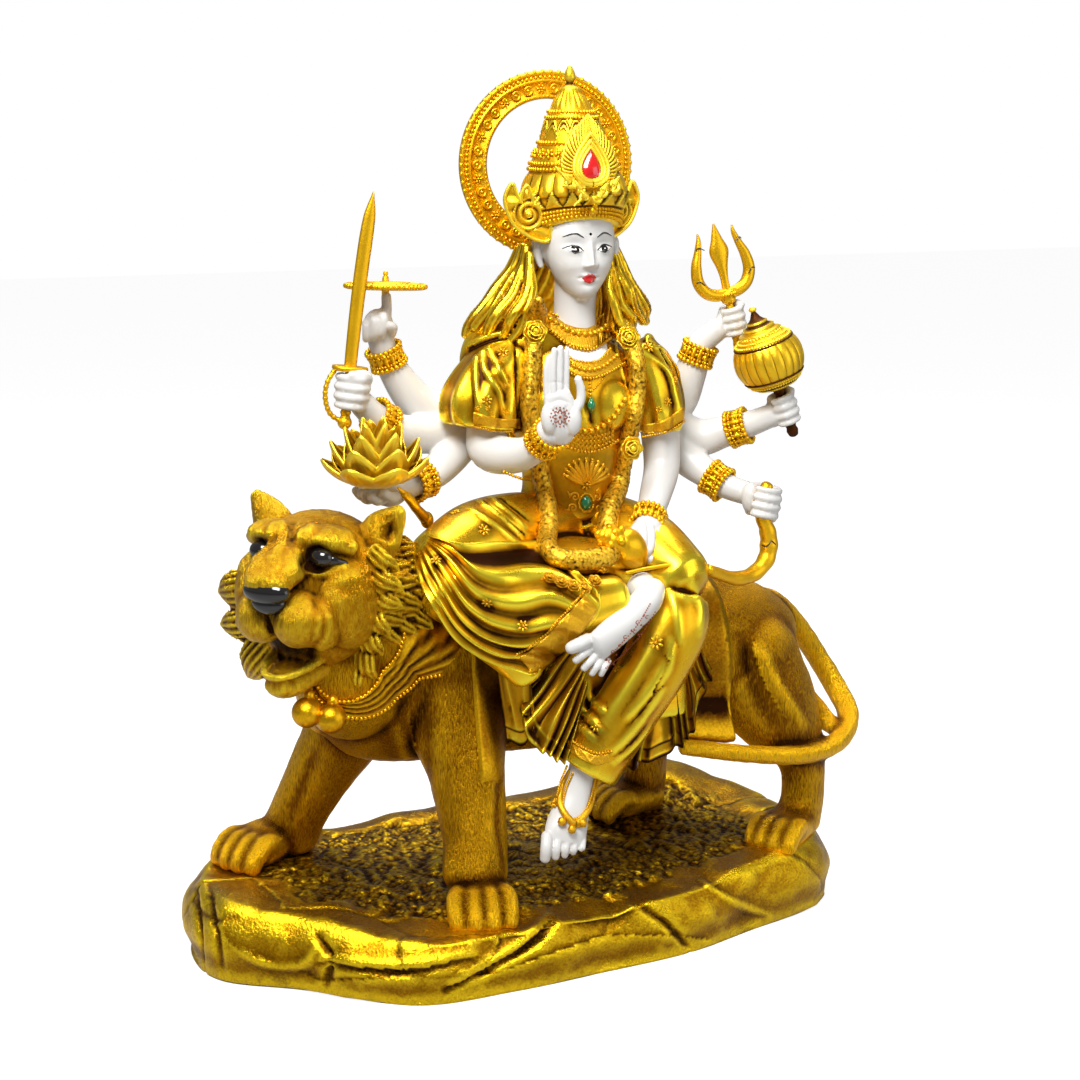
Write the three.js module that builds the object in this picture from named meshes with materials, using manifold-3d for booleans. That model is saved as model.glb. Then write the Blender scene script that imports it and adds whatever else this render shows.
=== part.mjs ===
// An eight-armed goddess riding a lion on a rocky plinth: a cast and painted table figure.
// Millimetres, +Z up. The goddess looks along -Y and the lion walks along -X with its head turned out.
// The lion and its plinth are one casting, the goddess is another, and the three arms behind each
// shoulder, the halo and what the arms hold are castings of their own.
import * as THREE from "three";
import { mergeVertices } from "three/addons/utils/BufferGeometryUtils.js";
import Module from "manifold-3d";

const wasm = await Module();
wasm.setup();

// Driving sizes.
const FIGURE_HEIGHT = 450; // underside of the plinth to the tip of the crown
const GLUE_GAP = 0.3; // between one casting and the next
const PLINTH_HEIGHT = 38; // at the middle, where the soil is level
const SADDLE_CLOTH = 2; // how far the cloth stands off the lion's flanks
const HALO_RADIUS = 48.5;
const HALO_BAND = 15; // width of the ring, from its hole to its rim
const HALO_THICKNESS = 5;
const HALO_SEAT_RADIUS = 10; // the boss at the back of the hair that the halo is glued to
const BLADE_LENGTH = 88;
const BLADE_WIDTH = 6;
const BLADE_THICKNESS = 2.4;
const GRIP_LENGTH = 26;
const GRIP_RADIUS = 2.6;
const DISCUS_RADIUS = 21;
const DISCUS_THICKNESS = 4;
const DISCUS_PIN_RADIUS = 1.8;
const LOTUS_RADIUS = 26;
const LOTUS_DEPTH = 34; // underside of the cup to the tips of the inner petals
const LOTUS_STALK_RADIUS = 2.6;
const TRIDENT_SPREAD = 17; // middle of the shaft to the outside of a side prong
const TRIDENT_SHAFT_RADIUS = 2;
const MACE_RADIUS = 19;
const MACE_HANDLE_RADIUS = 2.6;
const BOW_RADIUS = 4.6; // at its thickest
const BANGLE_LENGTH = 11;
const BANGLE_THICKNESS = 2;

// The carving below is drawn for a figure 450 mm tall and follows its height.
const K = FIGURE_HEIGHT / 450;

const GOLD = { color: 0xd9a520, roughness: 0.32, metalness: 0.85 };
const OLD_GOLD = { color: 0x9c6d12, roughness: 0.45, metalness: 0.75 };
const MARBLE = { color: 0xece8dd, roughness: 0.35, metalness: 0 };

const UP = new THREE.Vector3(0, 0, 1);
const vector = (p) => new THREE.Vector3(p[0], p[1], p[2]);
const degrees = THREE.MathUtils.degToRad;

// A closed geometry as a solid for joining and cutting.
function solid(geometry) {
  const bare = geometry.clone();
  bare.deleteAttribute("normal");
  bare.deleteAttribute("uv");
  const merged = mergeVertices(bare, 1e-4);
  return new wasm.Manifold(
    new wasm.Mesh({
      numProp: 3,
      vertProperties: new Float32Array(merged.attributes.position.array),
      triVerts: new Uint32Array(merged.index.array),
    }),
  );
}

function fuse(...solids) {
  return solids.flat().reduce((whole, one) => whole.add(one));
}

// The casting itself, without the crumbs that a cut sets free or the bubbles that a join shuts in.
function mainBody(cut) {
  return cut.decompose().reduce((a, b) => (a.volume() > b.volume() ? a : b));
}

function mesh(name, body, finish, place = new THREE.Matrix4()) {
  const { vertProperties, triVerts } = body.getMesh();
  const geometry = new THREE.BufferGeometry();
  geometry.setAttribute("position", new THREE.BufferAttribute(vertProperties, 3));
  geometry.setIndex(new THREE.BufferAttribute(triVerts, 1));
  geometry.computeVertexNormals();
  const made = new THREE.Mesh(geometry, new THREE.MeshStandardMaterial(finish));
  made.name = name;
  made.applyMatrix4(place);
  return made;
}

// Where a piece that is made standing on the origin goes, and which way it stands there.
function placing(at, way) {
  const turn = new THREE.Quaternion().setFromUnitVectors(UP, vector(way).normalize());
  return new THREE.Matrix4().compose(vector(at).multiplyScalar(K), turn, new THREE.Vector3(1, 1, 1));
}

// A sphere's grid of vertices put elsewhere: place(row, angle) says where each one goes.
function shaped(sides, rows, place) {
  const skin = new THREE.SphereGeometry(1, sides, rows);
  const position = skin.getAttribute("position");
  for (let row = 0; row <= rows; row++) {
    for (let side = 0; side <= sides; side++) {
      const angle = ((side % sides) / sides) * 2 * Math.PI;
      const p = place(row, angle);
      position.setXYZ(row * (sides + 1) + side, p.x, p.y, p.z);
    }
  }
  return solid(skin);
}

// A limb: elliptical sections threaded on a smooth line. A station is [x, y, z, half width, half depth],
// the half width lies along `wide`, and flutes run down its length.
function limb(stations, options = {}) {
  const { wide = [1, 0, 0], sides = 6, rings = stations.length, flutes = 0, flute = 0.08 } = options;
  const { grow = 0, blunt = 0.5 } = options;
  const line = new THREE.CatmullRomCurve3(stations.map((s) => vector(s).multiplyScalar(K)));
  const girth = new THREE.CatmullRomCurve3(
    stations.map((s) => new THREE.Vector3(s[3] * K, (s[4] ?? s[3]) * K, 0)),
  );
  return shaped(sides, rings + 1, (row, angle) => {
    const end = row === 0 ? -1 : row === rings + 1 ? 1 : 0;
    const t = THREE.MathUtils.clamp((row - 1) / (rings - 1), 0, 1);
    const along = line.getTangent(t);
    const size = girth.getPoint(t);
    const across = vector(wide).addScaledVector(along, -along.dot(vector(wide))).normalize();
    const deep = across.clone().cross(along);
    const wave = flutes && !end ? 1 + flute * Math.cos(flutes * angle) : 1;
    const swell = end ? 0 : grow;
    return line
      .getPoint(t)
      .addScaledVector(along, end * (blunt * Math.min(size.x, size.y) + grow))
      .addScaledVector(across, (end ? 0 : size.x * wave + swell) * Math.cos(angle))
      .addScaledVector(deep, (end ? 0 : size.y * wave + swell) * Math.sin(angle));
  });
}

// An ellipsoid, turned about Z, in degrees.
function ball([x, y, z], [rx, ry, rz], { turn = 0, sides = 6, rows = 4 } = {}) {
  const g = new THREE.SphereGeometry(1, sides, rows);
  g.rotateX(Math.PI / 2);
  g.scale(rx * K, ry * K, rz * K);
  g.rotateZ(degrees(turn));
  g.translate(x * K, y * K, z * K);
  return solid(g);
}

// A plain block between two corners, for trimming.
function block(low, high) {
  const size = vector(high).sub(vector(low)).multiplyScalar(K);
  const centre = vector(high).add(vector(low)).multiplyScalar(K / 2);
  return solid(new THREE.BoxGeometry(size.x, size.y, size.z).translate(centre.x, centre.y, centre.z));
}

// A round ring on the Z axis, leaned about X so that its front stands higher.
function ring([x, y, z], radius, thick, sides, lean = 0) {
  const g = new THREE.TorusGeometry(radius * K, thick * K, 4, sides);
  g.rotateX(degrees(-lean));
  g.translate(x * K, y * K, z * K);
  return solid(g);
}

// A turned form on the Z axis, from [radius, height] pairs that start and end on the axis.
function turned(profile, sides = 12) {
  const points = profile.map(([r, z]) => new THREE.Vector2(r, z));
  return new THREE.LatheGeometry(points, sides).rotateX(Math.PI / 2);
}

// A round rod on the Z axis.
function rod(radius, from, to) {
  const g = new THREE.CylinderGeometry(radius, radius, to - from, 6);
  return g.rotateX(Math.PI / 2).translate(0, 0, (from + to) / 2);
}

// A flat star or wheel: its outline steps between an outer and an inner radius.
function wheel(outer, inner, points) {
  const outline = new THREE.Shape();
  for (let i = 0; i < points * 2; i++) {
    const angle = (i / (points * 2)) * 2 * Math.PI;
    const r = i % 2 ? inner : outer;
    outline[i ? "lineTo" : "moveTo"](r * Math.cos(angle), r * Math.sin(angle));
  }
  return outline;
}

function plate(outline, depth) {
  const g = new THREE.ExtrudeGeometry(outline, { depth, bevelEnabled: false, curveSegments: 10 });
  return g.translate(0, 0, -depth / 2);
}

// The plinth: a long rock with a level top of soil, slabs round its rim and a flat underside.
const PLINTH_OUTLINE = [
  [-186, -14],
  [-176, -42],
  [-140, -66],
  [-92, -103],
  [-40, -104],
  [8, -98],
  [62, -90],
  [108, -73],
  [150, -57],
  [171, -36],
  [172, -4],
  [150, 44],
  [104, 76],
  [44, 76],
  [-40, 70],
  [-94, 62],
  [-150, 56],
  [-180, 22],
];
const PLINTH_CENTRE = [-6, -14];

function plinth() {
  const outline = new THREE.CatmullRomCurve3(
    PLINTH_OUTLINE.map(([x, y]) => new THREE.Vector3(x, y, 0).multiplyScalar(K)),
    true,
    "centripetal",
  );
  const centre = new THREE.Vector3(...PLINTH_CENTRE, 0).multiplyScalar(K);
  // The rings of the rock, from its middle to its rim and down its wall, as shares of the outline
  // and of the height at the rim.
  const rings = [
    [0, 1],
    [0.5, 1],
    [0.82, 1],
    [0.96, 0.9],
    [1.0, 0.6],
    [0.985, 0.3],
    [0.99, 0],
    [0, 0],
  ];
  return shaped(28, rings.length - 1, (row, angle) => {
    const rim = outline.getPoint(angle / (2 * Math.PI));
    const [share, height] = rings[row];
    const slabs = share > 0.9 ? 0.012 * Math.cos(11 * angle) + 0.01 * Math.cos(17 * angle + 1) : 0;
    const p = centre.clone().lerp(rim, share + slabs);
    const lie = plinthTop(p.x / K, p.y / K, angle, share) * K;
    return new THREE.Vector3(p.x, p.y, height * lie);
  });
}

// The top is lowest along the front and rises in a mound at the back, behind the lion's hind legs.
function plinthTop(x, y, angle, share) {
  const front = -7 * Math.max(0, (-y - 40) / 60);
  const mound = 14 * Math.exp(-(((x - 100) / 55) ** 2) - ((y - 52) / 34) ** 2);
  const ledges = share > 0.5 ? 1.6 * Math.cos(7 * angle + 0.5) + 1.4 * Math.cos(13 * angle + 2) : 0;
  return PLINTH_HEIGHT / K + front + mound + ledges;
}

// The lion's trunk, from rump to chest; the saddle cloth and the seat of the goddess follow it.
const TRUNK = [
  [147, -6, 124, 14, 22],
  [134, -6, 131, 27, 37],
  [112, -6, 135, 33, 44],
  [72, -6, 135, 34, 43],
  [26, -6, 136, 34, 43],
  [-20, -6, 140, 36, 46],
  [-58, -6, 146, 38, 52],
  [-90, -9, 150, 34, 50],
  [-108, -12, 152, 24, 38],
];

function trunk(grow = 0) {
  return limb(TRUNK, { wide: [0, 1, 0], sides: 11, rings: 7, grow });
}

// The saddle cloth lies over the back and hangs down both flanks.
const CLOTH = { front: -42, back: 105, hem: 99 };

function saddleCloth() {
  const skin = trunk(SADDLE_CLOTH);
  const { min, max } = skin.boundingBox();
  const clear = 1;
  const low = [CLOTH.front, min[1] / K - clear, CLOTH.hem];
  const high = [CLOTH.back, max[1] / K + clear, max[2] / K + clear];
  return skin.intersect(block(low, high));
}

const NEAR_FORELEG = [
  [-50, -28, 152, 28, 17],
  [-47, -34, 120, 25, 17],
  [-44, -42, 92, 20, 16],
  [-43, -50, 66, 17, 15],
  [-45, -57, 46, 17, 15],
];
const FAR_FORELEG = [
  [-76, 6, 142, 30, 18],
  [-90, 14, 112, 24, 17],
  [-104, 21, 86, 19, 15],
  [-115, 26, 64, 16, 14],
  [-122, 28, 48, 16, 14],
];
const NEAR_HINDLEG = [
  [122, -26, 132, 31, 15],
  [138, -30, 105, 25, 15],
  [151, -33, 80, 14, 12],
  [152, -35, 60, 12, 11],
  [148, -37, 45, 13, 12],
];
const FAR_HINDLEG = [
  [98, 14, 128, 32, 15],
  [88, 18, 100, 24, 14],
  [80, 19, 78, 15, 12],
  [80, 19, 62, 13, 11],
  [78, 19, 48, 13, 12],
];

// A paw that points along `heading`, in degrees from +X, with the furrows between its toes.
function paw([x, y, z], heading, size = 1) {
  const ahead = [Math.cos(degrees(heading)), Math.sin(degrees(heading))];
  const sections = [
    [-13, 1, 11, 9],
    [0, 1, 15, 11],
    [13, -1, 16.5, 9.5],
    [21, -3, 14, 6],
  ];
  const stations = sections.map(([reach, rise, wide, deep]) => [
    x + ahead[0] * reach * size,
    y + ahead[1] * reach * size,
    z + rise * size,
    wide * size,
    deep * size,
  ]);
  return limb(stations, { wide: [-ahead[1], ahead[0], 0], sides: 10, flutes: 5, flute: 0.1 });
}

const TAIL = [
  [132, 0, 164, 6.5],
  [150, 3, 159, 6.5],
  [166, 4, 143, 6.4],
  [179, 3, 124, 6.3],
  [187, -4, 108, 6.3],
  [188, -18, 95, 6.2],
  [172, -36, 87, 5.8],
  [144, -47, 86, 5.4],
  [112, -51, 91, 5],
  [72, -53, 100, 4.6],
];

// The lion's head looks out to its left. Its parts are placed from the middle of the skull:
// f is forwards along the muzzle, s is to the lion's left and u is up.
const HEAD = { at: [-115, -27, 200], heading: 222 };
const HEAD_ACROSS = [-Math.sin(degrees(HEAD.heading)), Math.cos(degrees(HEAD.heading)), 0];

function onHead(f, s, u) {
  const ahead = [Math.cos(degrees(HEAD.heading)), Math.sin(degrees(HEAD.heading))];
  const [x, y, z] = HEAD.at;
  return [x + f * ahead[0] + s * HEAD_ACROSS[0], y + f * ahead[1] + s * HEAD_ACROSS[1], z + u];
}

function lionHead() {
  const turn = HEAD.heading;
  const parts = [
    ball(onHead(0, 0, 1), [33, 37, 33], { turn, sides: 9, rows: 6 }),
    ball(onHead(18, 0, 17), [14, 27, 9], { turn }),
    ball(onHead(26, 0, -7), [22, 18, 14], { turn }),
    ball(onHead(46, 0, 2), [8, 10, 8], { turn, sides: 5 }),
    ball(onHead(23, 0, -41), [22, 16, 9], { turn }),
    ball(onHead(6, 0, -26), [25, 31, 25], { turn, sides: 8, rows: 5 }),
  ];
  for (const side of [-1, 1]) {
    parts.push(ball(onHead(35, side * 10, -15), [13, 11, 10], { turn }));
    const ear = [
      [...onHead(-8, side * 30, 21), 13, 6],
      [...onHead(-9, side * 39, 35), 7, 3.5],
    ];
    parts.push(limb(ear, { wide: HEAD_ACROSS, blunt: 1.3 }));
  }
  const mouth = ball(onHead(38, 0, -30), [20, 11, 6], { turn });
  return fuse(parts).subtract(mouth);
}

// Locks of the short mane stand out round the face, from ear to ear under the chin.
function mane() {
  const neck = limb(
    [
      [-88, -12, 158, 36, 40],
      [-104, -17, 176, 38, 38],
      [-112, -22, 194, 34, 34],
    ],
    { wide: HEAD_ACROSS, sides: 9 },
  );
  const locks = 8;
  const parts = [neck];
  for (let i = 0; i < locks; i++) {
    const angle = degrees(18 - (i / (locks - 1)) * 216);
    const s = Math.cos(angle);
    const u = Math.sin(angle);
    const lock = [
      [...onHead(-10, 36 * s, 33 * u - 6), 13, 9],
      [...onHead(-2, 52 * s, 46 * u - 6), 9, 5],
    ];
    parts.push(limb(lock, { wide: [-u * HEAD_ACROSS[0], -u * HEAD_ACROSS[1], s], sides: 5, blunt: 1.8 }));
  }
  return fuse(parts);
}

function lion() {
  return fuse(
    trunk(),
    limb(NEAR_FORELEG),
    limb(FAR_FORELEG),
    limb(NEAR_HINDLEG),
    limb(FAR_HINDLEG),
    ball([-50, -26, 148], [29, 20, 36]),
    ball([124, -22, 130], [30, 19, 33]),
    ball([-100, -28, 150], [30, 25, 34], { sides: 9, rows: 5 }),
    paw([-47, -70, 34], 258, 1.15),
    paw([-139, 24, 42], 212, 1.1),
    paw([141, -40, 41], 214),
    paw([70, 17, 48], 188),
    limb(TAIL, { wide: [0, 0, 1], sides: 5, rings: 12 }),
    mane(),
    lionHead(),
    ball([-128, -45, 139], [8, 8, 8]),
    ball([-117, -50, 136], [8, 8, 8]),
  );
}

// The goddess, from her seat on the saddle cloth up.
const TORSO = [
  [28, 2, 192, 34, 27],
  [28, 1, 210, 34, 26],
  [27, -2, 234, 26, 19],
  [27, -3, 256, 29, 21],
  [27, -4, 278, 34, 23],
  [28, -1, 298, 36, 19],
  [29, 2, 312, 18, 13],
];
const NECK = [
  [30, 1, 308, 12],
  [29, -1, 326, 10.5],
  [29, -3, 342, 11.5],
];
const SHAWL = [
  [29, 4, 320, 17, 12],
  [27, 5, 313, 38, 18],
  [25, 6, 304, 54, 21],
  [25, 6, 297, 55, 21],
];
const RIGHT_SLEEVE = [
  [-4, -1, 304, 14, 14],
  [-16, -4, 293, 18, 17],
  [-23, -6, 280, 21, 19],
  [-25, -7, 269, 19, 18],
];
const LEFT_SLEEVE = [
  [60, -1, 303, 14, 14],
  [69, -4, 290, 16, 16],
  [73, -6, 274, 16, 17],
  [73, -7, 262, 14, 15],
];
const HAIR = [
  [30, 8, 374, 19, 14],
  [30, 11, 352, 23, 15],
  [29, 13, 332, 36, 14],
  [25, 14, 318, 45, 12],
  [25, 20, 298, 40, 11],
  [26, 24, 270, 31, 8],
  [27, 23, 246, 22, 6],
];

function body() {
  return [
    limb(TORSO, { sides: 9, rings: 6 }),
    ball([13, -20, 279], [12, 11, 12]),
    ball([41, -20, 279], [12, 11, 12]),
    limb(NECK),
    limb(SHAWL, { sides: 9, blunt: 0.1 }),
    limb(RIGHT_SLEEVE, { sides: 10, rings: 3, flutes: 5, flute: 0.07, blunt: 0.1 }),
    limb(LEFT_SLEEVE, { sides: 10, rings: 3, flutes: 5, flute: 0.07, blunt: 0.1 }),
    limb(HAIR, { sides: 12, rings: 5, flutes: 6, flute: 0.07 }),
  ];
}

function head() {
  return [
    ball([30, -1, 362], [20.5, 23, 24], { sides: 9, rows: 6 }),
    ball([30, -8, 351], [17, 17, 17], { sides: 8, rows: 5 }),
    ball([30, -26, 355], [3, 5, 7], { sides: 5, rows: 3 }),
    ball([9.5, -1, 354], [3, 5, 8], { sides: 5, rows: 3 }),
    ball([50.5, -1, 354], [3, 5, 8], { sides: 5, rows: 3 }),
  ];
}

// The crown: a fluted cone of tiers [radius, lean to the side, height], from the tip down to the brow band,
// which rises to the front, a drop-shaped plume there and a leaf at each side.
const CROWN_TIERS = [
  [1.4, 27.5, 446],
  [5, 27.5, 441],
  [4, 27.5, 437],
  [12.5, 28.5, 427],
  [19, 29.5, 410],
  [25, 30, 398],
  [27, 30, 386],
  [23.5, 30, 376],
  [26.5, 30, 373],
  [23, 30, 367],
];

function crown() {
  const flutes = 8;
  const rows = CROWN_TIERS.length + 1;
  const cone = shaped(flutes * 2, rows, (row, angle) => {
    const tier = THREE.MathUtils.clamp(row - 1, 0, CROWN_TIERS.length - 1);
    const [radius, x, z] = CROWN_TIERS[tier];
    const r = row === 0 || row === rows ? 0 : radius * (1 + 0.035 * Math.cos(flutes * angle));
    const y = tier * 0.15 + r * Math.sin(angle);
    const lift = z < 390 ? (-0.3 * y * (390 - z)) / 20 : 0;
    const height = row ? (z + lift) * K : FIGURE_HEIGHT;
    return new THREE.Vector3((x + r * Math.cos(angle)) * K, y * K, height);
  });
  const plume = [
    [31, -28.5, 385, 9, 2.5],
    [31, -28, 393, 14, 3.2],
    [31, -24.5, 404, 11, 3.2],
    [31, -19.5, 417, 2.5, 2],
  ];
  const jewel = [
    [31, -31.5, 390, 4, 2.2],
    [31, -29, 401, 2, 1.6],
  ];
  const leaves = [-1, 1].map((side) =>
    limb(
      [
        [30 + side * 24, -10, 370, 6, 7],
        [30 + side * 30, -10, 382, 4, 5],
      ],
      { sides: 5, blunt: 2 },
    ),
  );
  return [cone, limb(plume), limb(jewel, { sides: 5 }), ...leaves];
}

const RIGHT_THIGH = [
  [16, -6, 206, 24, 22],
  [-10, -18, 210, 25, 23],
  [-36, -34, 210, 25, 23],
  [-58, -46, 207, 19, 19],
];
const RIGHT_SHIN = [
  [-56, -52, 198, 19, 18],
  [-30, -60, 187, 21, 18],
  [0, -66, 184, 18, 16],
  [26, -69, 188, 12, 11],
];
const RIGHT_DRAPE = [
  [-46, -54, 188, 18, 17],
  [-30, -61, 168, 21, 12],
  [-18, -65, 147, 12, 6],
];
const LEFT_THIGH = [
  [44, -6, 205, 25, 22],
  [56, -34, 203, 22, 20],
  [66, -58, 192, 18, 17],
];
const LEFT_SHIN = [
  [66, -63, 182, 19, 18],
  [51, -66, 152, 19, 16],
  [34, -66, 124, 19, 14],
  [21, -65, 100, 22, 13],
];
const PLEATS = [
  [56, -50, 186, 24, 9],
  [48, -52, 164, 36, 8],
  [36, -53, 138, 50, 8],
  [32, -53, 118, 52, 8],
];

// The robe over her lap: the right leg is crossed over the left knee, and the left leg hangs.
function legs() {
  const round = { wide: [0, 0, 1], sides: 8, rings: 4 };
  return [
    limb(RIGHT_THIGH, round),
    limb(RIGHT_SHIN, { ...round, sides: 10, flutes: 5, flute: 0.06 }),
    limb(RIGHT_DRAPE, { sides: 10, flutes: 5 }),
    limb(LEFT_THIGH, { ...round, rings: 3 }),
    ball([8, -38, 196], [44, 30, 20], { sides: 7 }),
    limb(LEFT_SHIN, { sides: 8, rings: 4, blunt: 0.1 }),
    limb(PLEATS, { sides: 18, rings: 3, flutes: 9, flute: 0.1, blunt: 0.1 }),
  ];
}

const RIGHT_FOOT = [
  [44, -73, 190, 7, 7],
  [30, -77, 182, 8, 8],
  [13, -81, 172, 9, 6.5],
  [-2, -84, 161, 8.5, 5],
];
const LEFT_FOOT = [
  [17, -63, 110, 9, 8],
  [8, -62, 84, 7.5, 7],
  [0, -67, 69, 10, 8],
  [-6, -76, 54, 9.5, 4.5],
];

function feet() {
  return [
    limb(RIGHT_FOOT, { wide: [0.5, 0.3, -0.8] }),
    limb(LEFT_FOOT),
    ring([4, -63, 78], 9, 2, 7),
  ];
}

// The thick flower garland that hangs from the neck to the lap, with blossoms pinned to it,
// and the collar, the necklace and the belt.
const GARLAND = [
  [7, -12, 334],
  [1, -23, 316],
  [-4, -29, 285],
  [0, -34, 246],
  [1, -43, 208],
  [13, -54, 195],
  [31, -54, 195],
  [45, -47, 210],
  [55, -33, 240],
  [56, -28, 281],
  [52, -20, 313],
  [46, -10, 332],
].map(([x, y, z]) => [x, y, z, 6.5, 5.5]);
const BLOSSOMS = [
  { at: [-1, -31, 313], way: [0, -1, 0.3] },
  { at: [54, -28, 311], way: [0, -1, 0.3] },
  { at: [57, -37, 250], way: [0.2, -1, 0] },
];

function ornaments() {
  const petals = plate(wheel(7.5 * K, 5 * K, 5), 5 * K);
  return [
    limb(GARLAND, { wide: [0, 1, 0], sides: 5, rings: 15 }),
    ...BLOSSOMS.map(({ at, way }) => solid(petals.clone().applyMatrix4(placing(at, way)))),
    ring([29, -7, 309], 16, 3.2, 9, -34),
  ];
}

// A broad bracelet.
function bangle(at, way, wrist) {
  const half = (BANGLE_LENGTH * K) / 2;
  const radius = wrist * K + BANGLE_THICKNESS;
  const profile = [
    [0, -half],
    [radius, -half],
    [radius, half],
    [0, half],
  ];
  return solid(turned(profile, 7).applyMatrix4(placing(at, way)));
}

// Front arms: the right hand is raised in blessing and the left holds a conch on her lap.
const FRONT_RIGHT_ARM = [
  [-19, -5, 276, 10.5],
  [-22, -13, 258, 10.5],
  [-13, -31, 257, 9],
  [-5, -46, 265, 6.8],
  [-3, -52, 272, 7],
];
const FRONT_LEFT_ARM = [
  [76, -6, 266, 10.5],
  [76, -10, 243, 9.6],
  [67, -23, 230, 8.4],
  [58, -36, 221, 6.8],
];
// The raised hand seen from the palm, [aside, up] from the middle of the wrist: little finger to thumb.
const OPEN_HAND = [
  [-6, 0],
  [-9, 9],
  [-9.5, 16],
  [-9.5, 30],
  [-7, 31],
  [-5.4, 18],
  [-4.8, 38],
  [-2, 38],
  [-1.2, 19],
  [-0.4, 41],
  [2.4, 41],
  [3, 19],
  [4, 37],
  [6.6, 36],
  [7.4, 16],
  [11, 27],
  [13.2, 25],
  [10.5, 11],
  [6, 0],
];

function openHand(at, thickness, back) {
  const outline = new THREE.Shape(OPEN_HAND.map(([x, y]) => new THREE.Vector2(x, y).multiplyScalar(K)));
  const g = plate(outline, thickness * K).rotateX(degrees(90 - back));
  const p = vector(at).multiplyScalar(K);
  return solid(g.translate(p.x, p.y, p.z));
}

function frontArms() {
  const conch = [
    [48, -52, 205, 5],
    [40, -55, 209, 10],
    [32, -56, 214, 9.5],
    [23, -56, 219, 3],
  ];
  const curledFingers = [
    [58, -47, 212, 9, 6],
    [51, -57, 210, 9, 5],
    [44, -61, 208, 8, 3],
  ];
  return [
    limb(FRONT_RIGHT_ARM),
    limb(FRONT_LEFT_ARM),
    openHand([-2, -54, 273], 5, 4),
    limb(curledFingers, { wide: [0.3, 0, 1], sides: 10, flutes: 5, flute: 0.1 }),
    bangle([-3.5, -48, 267.5], [0.25, -0.72, 0.66], 7),
    bangle([56, -39, 219.5], [-0.5, -0.75, -0.45], 7),
    limb(conch, { sides: 7 }),
  ];
}

// The arms behind the shoulders, three a side, from the root to the wrist.
const RIGHT_ROOT = [-22, 13, 268, 11];
const LEFT_ROOT = [80, 13, 266, 11];
const DISCUS_ARM = [
  RIGHT_ROOT,
  [-42, 17, 274, 10.5],
  [-54, 17, 283, 9.6],
  [-66, 15, 301, 7.4],
  [-71, 14, 314, 6.6],
];
const SWORD_ARM = [
  RIGHT_ROOT,
  [-48, 8, 264, 10.4],
  [-66, 0, 268, 8.6],
  [-80, -5, 277, 7],
  [-87, -8, 284, 6.6],
];
const LOTUS_ARM = [
  RIGHT_ROOT,
  [-34, 4, 256, 10],
  [-48, -7, 247, 8.4],
  [-60, -13, 243, 6.8],
  [-70, -17, 241.5, 6.4],
];
const TRIDENT_ARM = [
  LEFT_ROOT,
  [95, 14, 272, 10],
  [101, 11, 288, 8.8],
  [106, 8, 304, 7],
  [114, 5, 312, 6.2],
];
const MACE_ARM = [
  LEFT_ROOT,
  [102, 6, 254.3, 10.4],
  [115, -2, 257.3, 8.6],
  [126, -11.5, 262.5, 7],
  [138, -20.5, 269, 6.8],
];
const BOW_ARM = [
  LEFT_ROOT,
  [94, 4, 246, 9.8],
  [103, -8, 236.5, 8],
  [111, -17, 230.5, 6.8],
  [127, -28, 225, 6.8],
];

// A closed hand about a grip: its four fingers show as swellings, one above the other.
function fist(at, grip, palm) {
  const g = vector(grip).normalize();
  const p = vector(palm).addScaledVector(g, -g.dot(vector(palm))).normalize();
  const rings = 8;
  const fingers = Array.from({ length: rings }, (_, i) => {
    const girth = i % 2 ? 7.6 : 6.6;
    return [...vector(at).addScaledVector(g, -9 + (i * 18) / (rings - 1)), girth, girth];
  });
  return limb(fingers, { wide: p.toArray(), blunt: 0.2 });
}

function armTrio(trio, grow = 0) {
  return fuse(trio.map((stations) => limb(stations, { grow })));
}

const RIGHT_TRIO = [DISCUS_ARM, SWORD_ARM, LOTUS_ARM];
const LEFT_TRIO = [TRIDENT_ARM, MACE_ARM, BOW_ARM];

// Where each held piece stands, by the point that it is made about and the way it stands.
const SWORD_PLACE = placing([-93.3, -10, 302], [0.125, 0, 1]);
const DISCUS_PLACE = placing([-67.3, 15, 340], [0.04, 0.05, 1]);
const LOTUS_PLACE = placing([-87.3, -33.5, 247.5], [-0.05, -0.12, 1]);
const TRIDENT_PLACE = placing([118.5, 4, 333], [-0.22, 0.03, 0.97]);
const MACE_PLACE = placing([132, -21.1, 298.5], [-0.34, 0.05, 0.94]);

// The grips, about their own piece's point. The hands are cut with them, thicker by the gap.
function gripOf(place, radius, from, to, grow = 0) {
  return solid(rod(radius + grow, from - grow, to + grow).applyMatrix4(place));
}

const HELD = {
  sword: { place: SWORD_PLACE, radius: GRIP_RADIUS, from: -GRIP_LENGTH, to: 0 },
  discus: { place: DISCUS_PLACE, radius: DISCUS_PIN_RADIUS, from: -9, to: 7.5 },
  lotus: { place: LOTUS_PLACE, radius: LOTUS_STALK_RADIUS, from: -7, to: 3 },
  trident: { place: TRIDENT_PLACE, radius: TRIDENT_SHAFT_RADIUS, from: -32, to: 3 },
  mace: { place: MACE_PLACE, radius: MACE_HANDLE_RADIUS, from: -42, to: -10 },
};

function ownGrip({ radius, from, to }) {
  return solid(rod(radius, from, to));
}

function gripCut(held) {
  return gripOf(held.place, held.radius, held.from, held.to, GLUE_GAP);
}

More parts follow.
